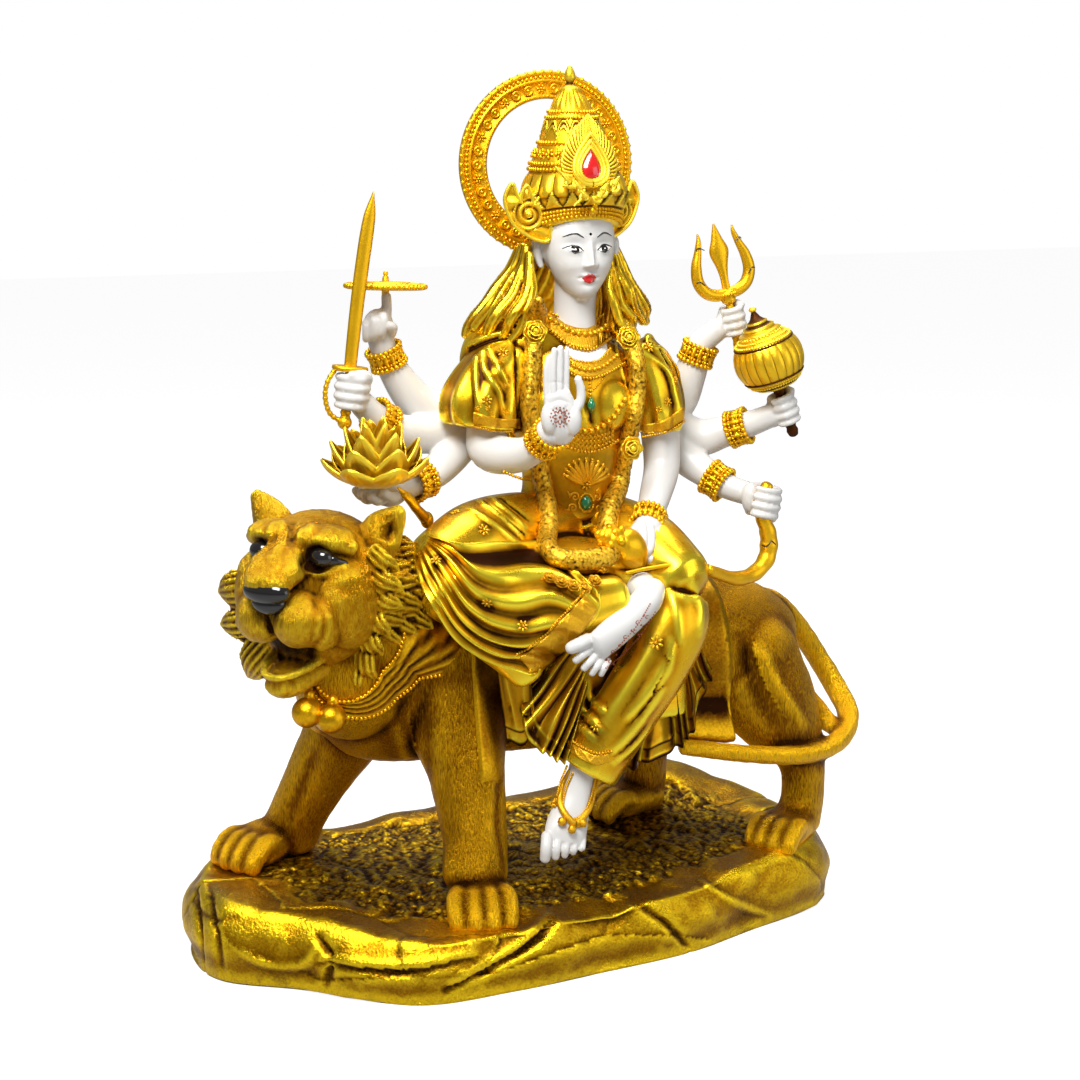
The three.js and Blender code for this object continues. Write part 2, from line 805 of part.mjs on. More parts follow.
function sword() {
  const half = BLADE_WIDTH / 2;
  const outline = new THREE.Shape();
  outline.moveTo(-half, 0);
  outline.lineTo(half, 0);
  outline.quadraticCurveTo(half * 0.4, BLADE_LENGTH * 0.6, half * 1.6, BLADE_LENGTH);
  outline.quadraticCurveTo(-half * 1.2, BLADE_LENGTH * 0.86, -half * 1.4, BLADE_LENGTH * 0.5);
  const blade = new THREE.ExtrudeGeometry(outline, {
    depth: BLADE_THICKNESS,
    bevelEnabled: false,
    curveSegments: 6,
  });
  blade.translate(0, 0, -BLADE_THICKNESS / 2).rotateX(Math.PI / 2);
  const guard = turned([[0, -1.6], [7.5, -1.2], [7.5, 1.2], [0, 1.6]], 8);
  const pommel = new THREE.SphereGeometry(3.6, 6, 4).translate(0, 0, -GRIP_LENGTH - 1);
  const bowed = [
    [-6.5, 0, 0, 1.3],
    [-11, -1, -8, 1.4],
    [-11, -1, -20, 1.4],
    [-1, 0, -GRIP_LENGTH - 1, 1.3],
  ];
  return fuse(solid(blade), solid(guard), solid(pommel), ownGrip(HELD.sword), limb(bowed, { sides: 5, rings: 5 }));
}

function discus() {
  const rim = plate(wheel(DISCUS_RADIUS, DISCUS_RADIUS * 0.92, 16), DISCUS_THICKNESS * 0.7);
  const hub = turned(
    [
      [0, -DISCUS_THICKNESS / 2],
      [DISCUS_RADIUS * 0.5, -DISCUS_THICKNESS / 2],
      [DISCUS_RADIUS * 0.5, DISCUS_THICKNESS / 2],
      [0, DISCUS_THICKNESS / 2],
    ],
    8,
  );
  return fuse(solid(rim), solid(hub), ownGrip(HELD.discus));
}

// An open lotus: three rounds of petals about a seed head, on a stalk that passes through the hand.
function lotus() {
  const seedWidth = LOTUS_RADIUS * 0.35;
  const seedDepth = LOTUS_DEPTH * 0.235;
  const seeds = new THREE.SphereGeometry(1, 6, 4).rotateX(Math.PI / 2).scale(seedWidth, seedWidth, seedDepth);
  const parts = [ownGrip(HELD.lotus), solid(seeds.translate(0, 0, seedDepth))];
  const rounds = [
    { count: 6, reach: 1, lift: 0.5, start: 0.2 },
    { count: 5, reach: 0.78, lift: 0.8, start: 0.4 },
    { count: 3, reach: 0.42, lift: 1, start: 0.1 },
  ];
  for (const { count, reach, lift, start } of rounds) {
    for (let i = 0; i < count; i++) {
      const angle = (i / count) * 2 * Math.PI + start;
      const out = [Math.cos(angle), Math.sin(angle)];
      const unit = LOTUS_RADIUS / K;
      const at = (share, rise) => {
        const r = share * reach * unit;
        return [r * out[0], r * out[1], (rise * LOTUS_DEPTH) / K];
      };
      const petal = [
        [...at(0.34, 0.08), 0.154 * unit, 0.062 * unit],
        [...at(0.78, 0.1 + 0.55 * lift), (0.154 + 0.21 * reach) * unit, 0.05 * unit],
      ];
      parts.push(limb(petal, { wide: [-out[1], out[0], 0], sides: 4, blunt: 6 }));
    }
  }
  return mainBody(fuse(parts));
}

function trident() {
  const middle = [
    [0, 0, -4, 2.6],
    [0, 0, 10, 2.8],
    [0, 0, 19, 6, 3],
    [0, 0, 36, 1.2],
  ];
  const collar = turned([[0, -7], [3.8, -6], [4.4, -3], [3, 0], [0, 0]], 8);
  const parts = [ownGrip(HELD.trident), limb(middle, { sides: 6 }), solid(collar)];
  for (const hand of [-1, 1]) {
    const reach = (hand * TRIDENT_SPREAD) / K;
    const prong = [
      [0, 0, -1, 3.2],
      [reach * 0.55, 0, -0.5, 3.6],
      [reach * 0.88, 0, 9, 3.8],
      [reach * 0.8, 0, 20, 2.6],
      [reach * 0.62, 0, 31, 0.9],
    ];
    parts.push(limb(prong, { wide: [0, 1, 0], sides: 6, rings: 7 }));
  }
  return fuse(parts);
}

// The mace: a fluted melon head under a stepped cap, on a handle that passes through the fist.
function mace() {
  const flutes = 8;
  const rows = 6;
  const melon = shaped(flutes * 2, rows, (row, angle) => {
    const polar = (row / rows) * Math.PI;
    const out = MACE_RADIUS * Math.sin(polar) * (1 + 0.045 * Math.cos(flutes * angle));
    const up = 0.95 * MACE_RADIUS * Math.cos(polar);
    return new THREE.Vector3(out * Math.cos(angle), out * Math.sin(angle), up);
  });
  const steps = [
    [0, 0.72],
    [0.62, 0.75],
    [0.45, 0.97],
    [0.3, 1.1],
    [0, 1.46],
  ];
  const cap = turned(steps.map(([r, z]) => [r * MACE_RADIUS, z * MACE_RADIUS]), 8);
  return fuse(melon, solid(cap), ownGrip(HELD.mace));
}

// The bow is held upright by its tip; its string end runs in behind her knee.
const BOW = [
  [124.5, -36, 231],
  [121, -36, 223],
  [123.3, -36, 216],
  [127, -36, 203],
  [125, -37, 193],
  [117, -39, 186.5],
  [103, -46, 187],
  [84, -56, 194.7],
  [68, -63.5, 201],
];

function bow(grow = 0) {
  const last = BOW.length - 1;
  const stations = BOW.map((p, i) => [...p, (BOW_RADIUS * (1 - 0.5 * (i / last) ** 2)) / K]);
  return limb(stations, { wide: [0, 1, 0], sides: 6, rings: 11, grow });
}

// The halo stands behind the crown: a flat ring with a scalloped rim.
const HALO_CENTRE = [27.5, 36, 399.5];
const HALO_PLACE = new THREE.Matrix4().compose(
  vector(HALO_CENTRE).multiplyScalar(K),
  new THREE.Quaternion().setFromAxisAngle(new THREE.Vector3(1, 0, 0), Math.PI / 2),
  new THREE.Vector3(1, 1, 1),
);

// The boss runs back from the hair to the middle of the ring's lowest part.
function haloSeat() {
  const ringMiddle = new THREE.Vector3(0, 0, HALO_BAND / 2 - HALO_RADIUS);
  const end = new THREE.Vector3(...HALO_CENTRE).multiplyScalar(K).add(ringMiddle);
  const boss = new THREE.CylinderGeometry(HALO_SEAT_RADIUS * 0.7, HALO_SEAT_RADIUS, 24 * K, 8);
  return solid(boss.translate(end.x, end.y - 12 * K, end.z));
}

function halo(grow = 0) {
  const outer = HALO_RADIUS + grow;
  const outline = wheel(outer, outer * 0.97, 22);
  const hole = new THREE.Path();
  hole.absarc(0, 0, HALO_RADIUS - HALO_BAND - grow, 0, 2 * Math.PI, true);
  outline.holes.push(hole);
  return plate(outline, HALO_THICKNESS + 2 * grow);
}

function goddess() {
  const whole = fuse(body(), head(), crown(), haloSeat(), legs(), feet(), ornaments(), frontArms());
  return mainBody(
    whole
      .subtract(trunk(SADDLE_CLOTH + GLUE_GAP))
      .subtract(armTrio(RIGHT_TRIO, GLUE_GAP))
      .subtract(armTrio(LEFT_TRIO, GLUE_GAP))
      .subtract(solid(halo(GLUE_GAP).applyMatrix4(HALO_PLACE)))
      .subtract(bow(GLUE_GAP)),
  );
}

function rightArms() {
  const pointing = [
    [-70, 13, 322, 3],
    [-68, 14, 334, 2.2],
  ];
  const cupped = [
    [-74, -19, 240, 6.5],
    [-81, -24, 237.5, 7.6, 8.5],
    [-90, -28, 238.5, 4.5, 5.5],
  ];
  const whole = fuse(
    armTrio(RIGHT_TRIO),
    fist([-93.5, -10, 289], [0.125, 0, 1], [-0.3, -1, 0.2]),
    ball([-72, 14, 321], [8, 6.5, 8.5]),
    limb(pointing, { sides: 6 }),
    limb(cupped, { wide: [0, 0, 1] }),
    bangle([-67.5, 15, 304], [-0.38, -0.1, 0.92], 7.2),
    bangle([-76, -3.5, 274.5], [-0.7, -0.3, 0.5], 7.6),
    bangle([-59, -12.5, 243.5], [-0.85, -0.45, -0.2], 7.6),
  );
  return mainBody(
    whole.subtract(gripCut(HELD.sword)).subtract(gripCut(HELD.discus)).subtract(gripCut(HELD.lotus)),
  );
}

function leftArms() {
  const whole = fuse(
    armTrio(LEFT_TRIO),
    fist([122, 3.5, 315], [-0.22, 0.03, 0.97], [0.6, -0.8, 0]),
    fist([142.2, -22.6, 270.3], [-0.34, 0.05, 0.94], [0.7, -0.7, 0.2]),
    fist([131.5, -30.5, 223], [0.1, 0, -1], [0.5, -0.85, 0]),
    bangle([104.5, 9, 299], [0.3, -0.17, 0.93], 7.4),
    bangle([121.5, -8, 260.3], [0.75, -0.6, 0.33], 7.6),
    bangle([107, -12.5, 233], [0.6, -0.65, -0.45], 7.4),
  );
  return mainBody(
    whole.subtract(gripCut(HELD.trident)).subtract(gripCut(HELD.mace)).subtract(bow(GLUE_GAP)),
  );
}

const figure = new THREE.Group();
figure.add(
  mesh("lion_and_plinth", mainBody(fuse(plinth(), lion(), saddleCloth())), OLD_GOLD),
  mesh("goddess", goddess(), GOLD),
  mesh("right_arms", rightArms(), MARBLE),
  mesh("left_arms", leftArms(), MARBLE),
  mesh("halo", solid(halo()), GOLD, HALO_PLACE),
  mesh("sword", sword(), GOLD, SWORD_PLACE),
  mesh("discus", discus(), GOLD, DISCUS_PLACE),
  mesh("lotus", lotus(), GOLD, LOTUS_PLACE),
  mesh("trident", trident(), GOLD, TRIDENT_PLACE),
  mesh("mace", mace(), GOLD, MACE_PLACE),
  mesh("bow", bow(), GOLD),
);

// The origin is the middle of the footprint, on the surface that the plinth stands on.
const bounds = new THREE.Box3().setFromObject(figure);
const middle = bounds.getCenter(new THREE.Vector3());
figure.position.set(-middle.x, -middle.y, -bounds.min.z);

export default figure;
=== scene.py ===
import math

import bpy
import numpy as np
from mathutils import Matrix, Vector
from mathutils.bvhtree import BVHTree
from mathutils.kdtree import KDTree


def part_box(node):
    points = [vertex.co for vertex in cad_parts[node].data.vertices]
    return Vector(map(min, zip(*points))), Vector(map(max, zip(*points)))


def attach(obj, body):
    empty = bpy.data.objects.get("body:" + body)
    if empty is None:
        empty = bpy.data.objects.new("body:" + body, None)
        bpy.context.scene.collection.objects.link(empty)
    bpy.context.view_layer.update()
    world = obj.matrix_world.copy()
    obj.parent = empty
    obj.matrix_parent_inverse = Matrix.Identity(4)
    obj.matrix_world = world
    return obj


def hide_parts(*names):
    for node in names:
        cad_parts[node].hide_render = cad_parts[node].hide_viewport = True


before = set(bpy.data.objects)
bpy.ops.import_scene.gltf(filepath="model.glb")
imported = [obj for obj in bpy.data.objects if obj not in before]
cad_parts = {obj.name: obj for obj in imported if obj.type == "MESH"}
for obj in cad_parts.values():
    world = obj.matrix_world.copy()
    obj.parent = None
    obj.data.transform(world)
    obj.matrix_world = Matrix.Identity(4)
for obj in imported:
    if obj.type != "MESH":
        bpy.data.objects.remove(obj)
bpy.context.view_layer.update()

MM = 0.001
# The carving's own origin, found from the ring of the halo, whose middle is known in both frames.
HALO_CENTRE = np.array([27.5, 36.0, 399.5])
HALO_LOW, HALO_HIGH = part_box("halo")
ORIGIN = (np.array(HALO_LOW) + np.array(HALO_HIGH)) / 2 - HALO_CENTRE * MM
ORIGIN[2] = 0.0

# The camera of the photograph, in the carving's millimetres.
PICTURE = 1080
FOCAL_PIXELS = 2095
EYE = np.array([-359.1, -1016.7, 440.0])
LOOK_AT = np.array([0.0, -30.0, 212.0])
VIEW = (LOOK_AT - EYE) / np.linalg.norm(LOOK_AT - EYE)
RIGHT = np.cross(VIEW, [0, 0, 1])
RIGHT = RIGHT / np.linalg.norm(RIGHT)
ABOVE = np.cross(RIGHT, VIEW)


def sight(pixel):
    """The direction from the camera through a pixel of the photograph."""
    u, v = pixel
    d = VIEW * FOCAL_PIXELS + RIGHT * (u - PICTURE / 2) - ABOVE * (v - PICTURE / 2)
    return d / np.linalg.norm(d)


def at_depth(pixel, y):
    """The point behind a pixel on the upright plane at this y."""
    d = sight(pixel)
    return EYE + d * ((y - EYE[1]) / d[1])


# Curves and noise.


def unit(v):
    v = np.asarray(v, float)
    return v / np.maximum(np.linalg.norm(v, axis=-1, keepdims=True), 1e-9)


def smooth_line(points, count, closed=False):
    """A Catmull-Rom curve through the points, as so many even steps."""
    p = np.asarray(points, float)
    if closed:
        p = np.vstack([p[-1], p, p[:2]])
    elif len(p) == 2:
        return p[0] + (p[1] - p[0]) * np.linspace(0, 1, count)[:, None]
    else:
        p = np.vstack([2 * p[0] - p[1], p, 2 * p[-1] - p[-2]])
    t = np.linspace(0, len(p) - 3, count, endpoint=not closed)
    i = np.minimum(t.astype(int), len(p) - 4)
    f = (t - i)[:, None]
    a, b, c, d = p[i], p[i + 1], p[i + 2], p[i + 3]
    return 0.5 * (2 * b + (c - a) * f + (2 * a - 5 * b + 4 * c - d) * f**2 + (3 * b - a - 3 * c + d) * f**3)


HASH = np.array([73856093, 19349663, 83492791])


def stirred(n, extra=0):
    """The next whole number of a fixed sequence that looks random."""
    return (n ^ (n >> 13)) * 1274126177 + extra


def noise(points, size, seed=0):
    """Smooth noise from -1 to 1 with features of about this size."""
    q = np.asarray(points, float) / size + seed * 19.7
    low = np.floor(q).astype(np.int64)
    f = q - low
    f = f * f * (3 - 2 * f)
    total = np.zeros(len(q))
    for corner in range(8):
        step = np.array([corner & 1, (corner >> 1) & 1, corner >> 2])
        n = stirred(((low + step) * HASH).sum(1))
        value = ((n >> 8) & 0xFFFF) / 32767.5 - 1
        total += value * np.prod(np.where(step, f, 1 - f), axis=1)
    return total


def scattered(q, values):
    """One scattered point to a cell, for the 27 cells round each q: how far it lies, and its last value."""
    low = np.floor(q).astype(np.int64)
    for i in range(27):
        cell = low + np.array([i % 3 - 1, (i // 3) % 3 - 1, i // 9 - 1])
        n = (cell * HASH).sum(1)
        spot = []
        for k in range(values):
            n = stirred(n, 12345 * (k + 1))
            spot.append(((n >> 8) & 0xFFFF) / 65535)
        yield np.linalg.norm(cell + np.stack(spot[:3], 1) - q, axis=1), spot[-1]


def cells(points, size, seed=0):
    """Distance to the nearest of a set of scattered points, one to a cell: 0 at a point."""
    q = np.asarray(points, float) / size + seed * 11.3
    best = np.full(len(q), 9.0)
    for distance, _ in scattered(q, 3):
        best = np.minimum(best, distance)
    return best


def slabs(points, size, seed=0):
    """Broken slabs: a random height for each, -1 to 1, and the distance to its crack."""
    q = np.asarray(points, float) / size + seed * 7.7
    first = np.full(len(q), 9.0)
    second = np.full(len(q), 9.0)
    height = np.zeros(len(q))
    for distance, own in scattered(q, 4):
        nearer = distance < first
        second = np.where(nearer, first, np.minimum(second, distance))
        height = np.where(nearer, own * 2 - 1, height)
        first = np.minimum(first, distance)
    return height, (second - first) * size


# Shapes, as (vertices, faces).


def lattice(rows, sides, closed=True, start=0):
    faces = []
    last = sides if closed else sides - 1
    for r in range(rows - 1):
        for s in range(last):
            a = start + r * sides + s
            b = start + r * sides + (s + 1) % sides
            faces.append((a, b, b + sides, a + sides))
    return faces


def limb(stations, wide=(1, 0, 0), sides=20, rings=None, blunt=0.7, wave=None):
    """Elliptical sections [x, y, z, half width, half depth] on a smooth line, with rounded ends."""
    rows = np.array([list(s) + [s[3]] * (5 - len(s)) for s in stations], float)
    rings = rings or len(rows) * 6
    line = smooth_line(rows, rings)
    centre, girth = line[:, :3], np.maximum(line[:, 3:], 0.05)
    along = unit(np.gradient(centre, axis=0))
    across = unit(np.asarray(wide, float) - along * (along @ np.asarray(wide, float))[:, None])
    deep = np.cross(across, along)
    caps = [(math.sin(a), math.cos(a)) for a in (1.25, 0.85, 0.4)]
    rows = []
    for rise, narrow in caps:
        rows.append((0, -rise, narrow))
    for i in range(rings):
        rows.append((i, 0, 1))
    for rise, narrow in reversed(caps):
        rows.append((rings - 1, rise, narrow))
    angle = np.arange(sides) / sides * 2 * math.pi
    verts = []
    for i, rise, narrow in rows:
        reach = rise * blunt * min(girth[i])
        size = wave(i / (rings - 1), angle) if wave else 1
        x = np.cos(angle) * girth[i, 0] * narrow * size
        y = np.sin(angle) * girth[i, 1] * narrow * size
        verts.append(centre[i] + along[i] * reach + x[:, None] * across[i] + y[:, None] * deep[i])
    faces = lattice(len(rows), sides)
    verts = np.vstack(verts)
    ends = [centre[0] - along[0] * blunt * min(girth[0]), centre[-1] + along[-1] * blunt * min(girth[-1])]
    first, last = len(verts), len(verts) + 1
    top = (len(rows) - 1) * sides
    for s in range(sides):
        n = (s + 1) % sides
        faces.append((first, n, s))
        faces.append((last, top + s, top + n))
    verts = np.vstack([verts, ends])
    return verts, faces


def ball(centre, radii, turn=0, sides=20, rows=12):
    """An ellipsoid, turned about the vertical, in degrees."""
    verts = []
    for r in range(1, rows):
        polar = r / rows * math.pi
        for s in range(sides):
            a = s / sides * 2 * math.pi
            verts.append((math.sin(polar) * math.cos(a), math.sin(polar) * math.sin(a), math.cos(polar)))
    faces = lattice(rows - 1, sides)
    faces = [tuple(reversed(f)) for f in faces]
    low = (rows - 2) * sides
    top, bottom = len(verts), len(verts) + 1
    verts += [(0, 0, 1), (0, 0, -1)]
    for s in range(sides):
        n = (s + 1) % sides
        faces.append((top, s, n))
        faces.append((bottom, low + n, low + s))
    p = np.array(verts) * np.asarray(radii, float)
    c, n = math.cos(math.radians(turn)), math.sin(math.radians(turn))
    p = np.stack([p[:, 0] * c - p[:, 1] * n, p[:, 0] * n + p[:, 1] * c, p[:, 2]], 1)
    return p + np.asarray(centre, float), faces


def joined(shapes):
    verts, faces, start = [], [], 0
    for v, f in shapes:
        verts.append(np.asarray(v, float))
        faces += [tuple(i + start for i in face) for face in f]
        start += len(v)
    return np.vstack(verts), faces


def placed(shape, at, way=(0, 0, 1), size=1.0, spin=0.0):
    """A shape made standing on the origin, set where it goes and leaned to its way."""
    turn = Vector((0, 0, 1)).rotation_difference(Vector(way).normalized()).to_matrix()
    turn = np.array(turn @ Matrix.Rotation(spin, 3, "Z"))
    return np.asarray(shape[0]) * size @ turn.T + np.asarray(at, float), shape[1]


# Blender objects.


def deselect():
    for ob in bpy.context.selected_objects:
        ob.select_set(False)


def build(name, shape):
    mesh = bpy.data.meshes.new(name)
    mesh.from_pydata([tuple(v) for v in shape[0]], [], shape[1])
    mesh.update()
    ob = bpy.data.objects.new(name, mesh)
    bpy.context.scene.collection.objects.link(ob)
    deselect()
    ob.select_set(True)
    bpy.context.view_layer.objects.active = ob
    return ob


def modify(ob, kind, **settings):
    deselect()
    ob.select_set(True)
    bpy.context.view_layer.objects.active = ob
    mod = ob.modifiers.new(kind.lower(), kind)
    for key, value in settings.items():
        setattr(mod, key, value)
    bpy.ops.object.modifier_apply(modifier=mod.name)


def sculpted(name, shapes, grain, soften):
    """Overlapping shapes melted into one skin with faces of this size, then softened."""
    ob = build(name, joined(shapes))
    modify(ob, "REMESH", mode="VOXEL", voxel_size=grain)
    modify(ob, "SMOOTH", factor=0.5, iterations=soften)
    return ob


def close_up(ob, gap=0.002):
    """Merges doubles and turns every face outward."""
    bpy.context.view_layer.objects.active = ob
    bpy.ops.object.mode_set(mode="EDIT")
    bpy.ops.mesh.select_all(action="SELECT")
    bpy.ops.mesh.remove_doubles(threshold=gap)
    bpy.ops.mesh.normals_make_consistent(inside=False)
    bpy.ops.object.mode_set(mode="OBJECT")


def points_of(ob):
    co = np.empty(len(ob.data.vertices) * 3)
    ob.data.vertices.foreach_get("co", co)
    return co.reshape(-1, 3)


def normals_of(ob):
    no = np.empty(len(ob.data.vertices) * 3)
    ob.data.vertex_normals.foreach_get("vector", no)
    return no.reshape(-1, 3)


def move_to(ob, points):
    ob.data.vertices.foreach_set("co", points.ravel())
    ob.data.update()


def raise_skin(ob, height):
    """Moves each vertex out along its normal by its own height."""
    move_to(ob, points_of(ob) + normals_of(ob) * height[:, None])


def surface_of(ob):
    return BVHTree.FromPolygons([v.co for v in ob.data.vertices], [p.vertices[:] for p in ob.data.polygons])


# How far forward a pixel's point is put where its line of sight misses the surface.
SPARE_Y = -40.0


def onto(surface, pixels, spare_y=SPARE_Y, lift=0.0):
    """The points of a surface that the photograph shows at these pixels."""
    made = []
    last = None
    for pixel in pixels:
        d = sight(pixel)
        hit = surface.ray_cast(Vector(EYE), Vector(d))
        if hit[0] is not None:
            last = hit[0].y
            made.append(np.array(hit[0] + hit[1] * lift))
        else:
            made.append(at_depth(pixel, spare_y if last is None else last))
    return np.array(made)


def strokes_on(surface, strokes, gap=0.5, spare_y=SPARE_Y):
    """Strokes drawn on the photograph, as close samples on the surface: points, widths and heights."""
    points, widths, heights = [], [], []
    for pixels, width, height in strokes:
        line = onto(surface, smooth_line(pixels, len(pixels) * 3), spare_y)
        line = along(smooth_line(line, len(line) * 12), gap)
        taper = np.sin(np.linspace(0.12, math.pi - 0.12, len(line))) ** 0.5
        points.append(line)
        widths.append(np.full(len(line), width))
        heights.append(height * taper)
    return np.vstack(points), np.concatenate(widths), np.concatenate(heights)


def nearest(samples, verts):
    tree = KDTree(len(samples))
    for i, p in enumerate(samples):
        tree.insert(p, i)
    tree.balance()
    found = [tree.find(v) for v in verts]
    return np.array([f[1] for f in found]), np.array([f[2] for f in found])


def carve(ob, samples, sharp=2.0):
    """Raises ridges, or cuts grooves where the height is negative, along the sampled strokes."""
    points, widths, heights = samples
    verts = points_of(ob)
    which, distance = nearest(points, verts)
    raise_skin(ob, heights[which] * np.exp(-((distance / widths[which]) ** sharp)))


def blurred(ob, values, times):
    """Values on the vertices, averaged with their neighbours so many times."""
    edges = np.empty(len(ob.data.edges) * 2, dtype=np.int64)
    ob.data.edges.foreach_get("vertices", edges)
    a, b = edges.reshape(-1, 2).T
    count = np.bincount(a, minlength=len(values)) + np.bincount(b, minlength=len(values)) + 1.0
    for _ in range(times):
        total = values.copy()
        for k in range(values.shape[1]):
            pull = np.bincount(a, values[b, k], len(values)) + np.bincount(b, values[a, k], len(values))
            total[:, k] += pull
        values = total / count[:, None]
    return values


def tone(ob, name, values):
    mesh = ob.data
    layer = mesh.attributes.get(name) or mesh.attributes.new(name, "FLOAT", "POINT")
    layer.data.foreach_set("value", np.asarray(values, dtype=np.float32))


def tone_of(ob, name):
    values = np.empty(len(ob.data.vertices), dtype=np.float32)
    ob.data.attributes[name].data.foreach_get("value", values)
    return values


def shade_near(ob, points, reach, amount):
    """Darker paint round these points: dark paint and patina, and painted shade where shade falls."""
    distance = nearest(points, points_of(ob))[1]
    shade = amount * np.exp(-((distance / reach) ** 4))
    tone(ob, "patina_and_painted_shade", np.clip(tone_of(ob, "patina_and_painted_shade") + shade, 0, 1))


def find_hollows(ob, wide=14, depth=0.5):
    """Stores how deep in the hollows each point lies, 0 to 1, and how far it stands on a ridge, 0 to 1:
    painted shade with patina for the hollows, wear with a painted highlight for the ridges.
    """
    co, no = points_of(ob), normals_of(ob)
    near_steps, near_depth, near_share = 3, 0.35 * depth, 0.45
    far_depth, far_share = 1.2 * depth, 0.55
    near = ((blurred(ob, co, near_steps) - co) * no).sum(1)
    far = ((blurred(ob, co, wide) - co) * no).sum(1)
    lie = near / near_depth * near_share + far / far_depth * far_share
    tone(ob, "patina_and_painted_shade", np.clip(lie, 0, 1))
    tone(ob, "ridge", np.clip(-lie, 0, 1))


# The most triangles that a finely sculpted piece keeps, in thousands.
MOST_TRIANGLES = {
    "hair": 44, "head_and_neck": 28, "front_arms_skin": 38, "feet": 24, "bodice_and_shawl": 40, "robe": 42,
    "robe_swags": 30, "lion_body": 60, "lion_head": 44, "mane": 48, "rocky_plinth": 86, "saddle_cloth": 28,
    "crown": 32, "crown_plume": 30, "crown_wings": 14, "garland": 36, "right_arms_skin": 18,
    "left_arms_skin": 18, "mace_head_and_grip": 14, "robe_pleats": 26, "henna_motifs": 9,
    "lion_collar_and_bells": 24,
}


def settle(ob, node, material, smooth=True):
    """A finished piece: into the frame's metres, riding on the body, with its material."""
    if ob.name in MOST_TRIANGLES:
        triangles = sum(len(face.vertices) - 2 for face in ob.data.polygons)
        share = MOST_TRIANGLES[ob.name] * 1000 / triangles
        if share < 1:
            modify(ob, "DECIMATE", ratio=share)
    ob.data.transform(Matrix.Translation(Vector(ORIGIN)) @ Matrix.Scale(MM, 4))
    ob.data.update()
    ob.data.materials.clear()
    for one in material if isinstance(material, list) else [material]:
        ob.data.materials.append(one)
    if smooth:
        ob.data.polygons.foreach_set("use_smooth", [True] * len(ob.data.polygons))
    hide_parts(node)
    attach(ob, "root")
    return ob


# Materials.


class Wire:
    """One socket of a material, so that its maths can be written as an expression."""

    def __init__(self, tree, socket):
        self.tree = tree
        self.socket = socket

    def join(self, operation, other, turned=False):
        node = self.tree.nodes.new("ShaderNodeMath")
        node.operation = operation
        pair = [self, other]
        if turned:
            pair.reverse()
        for place, value in enumerate(pair):
            if isinstance(value, Wire):
                self.tree.links.new(value.socket, node.inputs[place])
            elif value is not None:
                node.inputs[place].default_value = value
        return Wire(self.tree, node.outputs[0])

    def __add__(self, other):
        return self.join("ADD", other)

    def __radd__(self, other):
        return self.join("ADD", other, True)

    def __sub__(self, other):
        return self.join("SUBTRACT", other)

    def __rsub__(self, other):
        return self.join("SUBTRACT", other, True)

    def __mul__(self, other):
        return self.join("MULTIPLY", other)

    def __rmul__(self, other):
        return self.join("MULTIPLY", other, True)

    def __pow__(self, other):
        return self.join("POWER", other)

    def least(self, other):
        return self.join("MINIMUM", other)

    def most(self, other):
        return self.join("MAXIMUM", other)


class Finish:
    """A material and the one method that adds its nodes."""

    def __init__(self, name):
        self.material = bpy.data.materials.new(name)
        self.material.use_nodes = True
        self.tree = self.material.node_tree
        self.shader = self.tree.nodes["Principled BSDF"]

    def add(self, kind, settings=None, output=0, **values):
        node = self.tree.nodes.new("ShaderNode" + kind)
        for key, value in (settings or {}).items():
            if key == "stops":
                ramp = node.color_ramp
                for place, (position, colour) in enumerate(value):
                    stop = ramp.elements[place] if place < 2 else ramp.elements.new(position)
                    stop.position = position
                    stop.color = (*colour, 1)
            else:
                setattr(node, key, value)
        for key, value in values.items():
            name = key.replace("_", " ")
            socket = next(s for s in node.inputs if s.name == name and s.enabled)
            self.put(socket, value)
        return Wire(self.tree, node.outputs[output])

    def put(self, socket, value):
        if isinstance(value, Wire):
            self.tree.links.new(value.socket, socket)
        else:
            socket.default_value = value

    def mix(self, factor, a, b):
        node = self.tree.nodes.new("ShaderNodeMix")
        node.data_type = "RGBA"
        for socket, value in ((node.inputs[0], factor), (node.inputs[6], a), (node.inputs[7], b)):
            if isinstance(value, tuple):
                value = (*value, 1)
            self.put(socket, value)
        return Wire(self.tree, node.outputs[2])

    def place(self, scale=(1, 1, 1)):
        object_place = self.add("TexCoord", output=3)
        return self.add("Mapping", Vector=object_place, Scale=scale)

    def grain(self, scale, detail=3.0, stretch=(1, 1, 1), rough=0.5):
        return self.add("TexNoise", output=0, Vector=self.place(stretch), Scale=scale, Detail=detail,
                        Roughness=rough)

    def attribute(self, name):
        return self.add("Attribute", {"attribute_name": name}, output=2)

    def surface(self, **values):
        for key, value in values.items():
            if isinstance(value, tuple):
                value = (*value, 1)
            self.put(self.shader.inputs[key.replace("_", " ")], value)

    def bump(self, height, strength, distance):
        self.surface(Normal=self.add("Bump", Height=height, Strength=strength, Distance=distance))


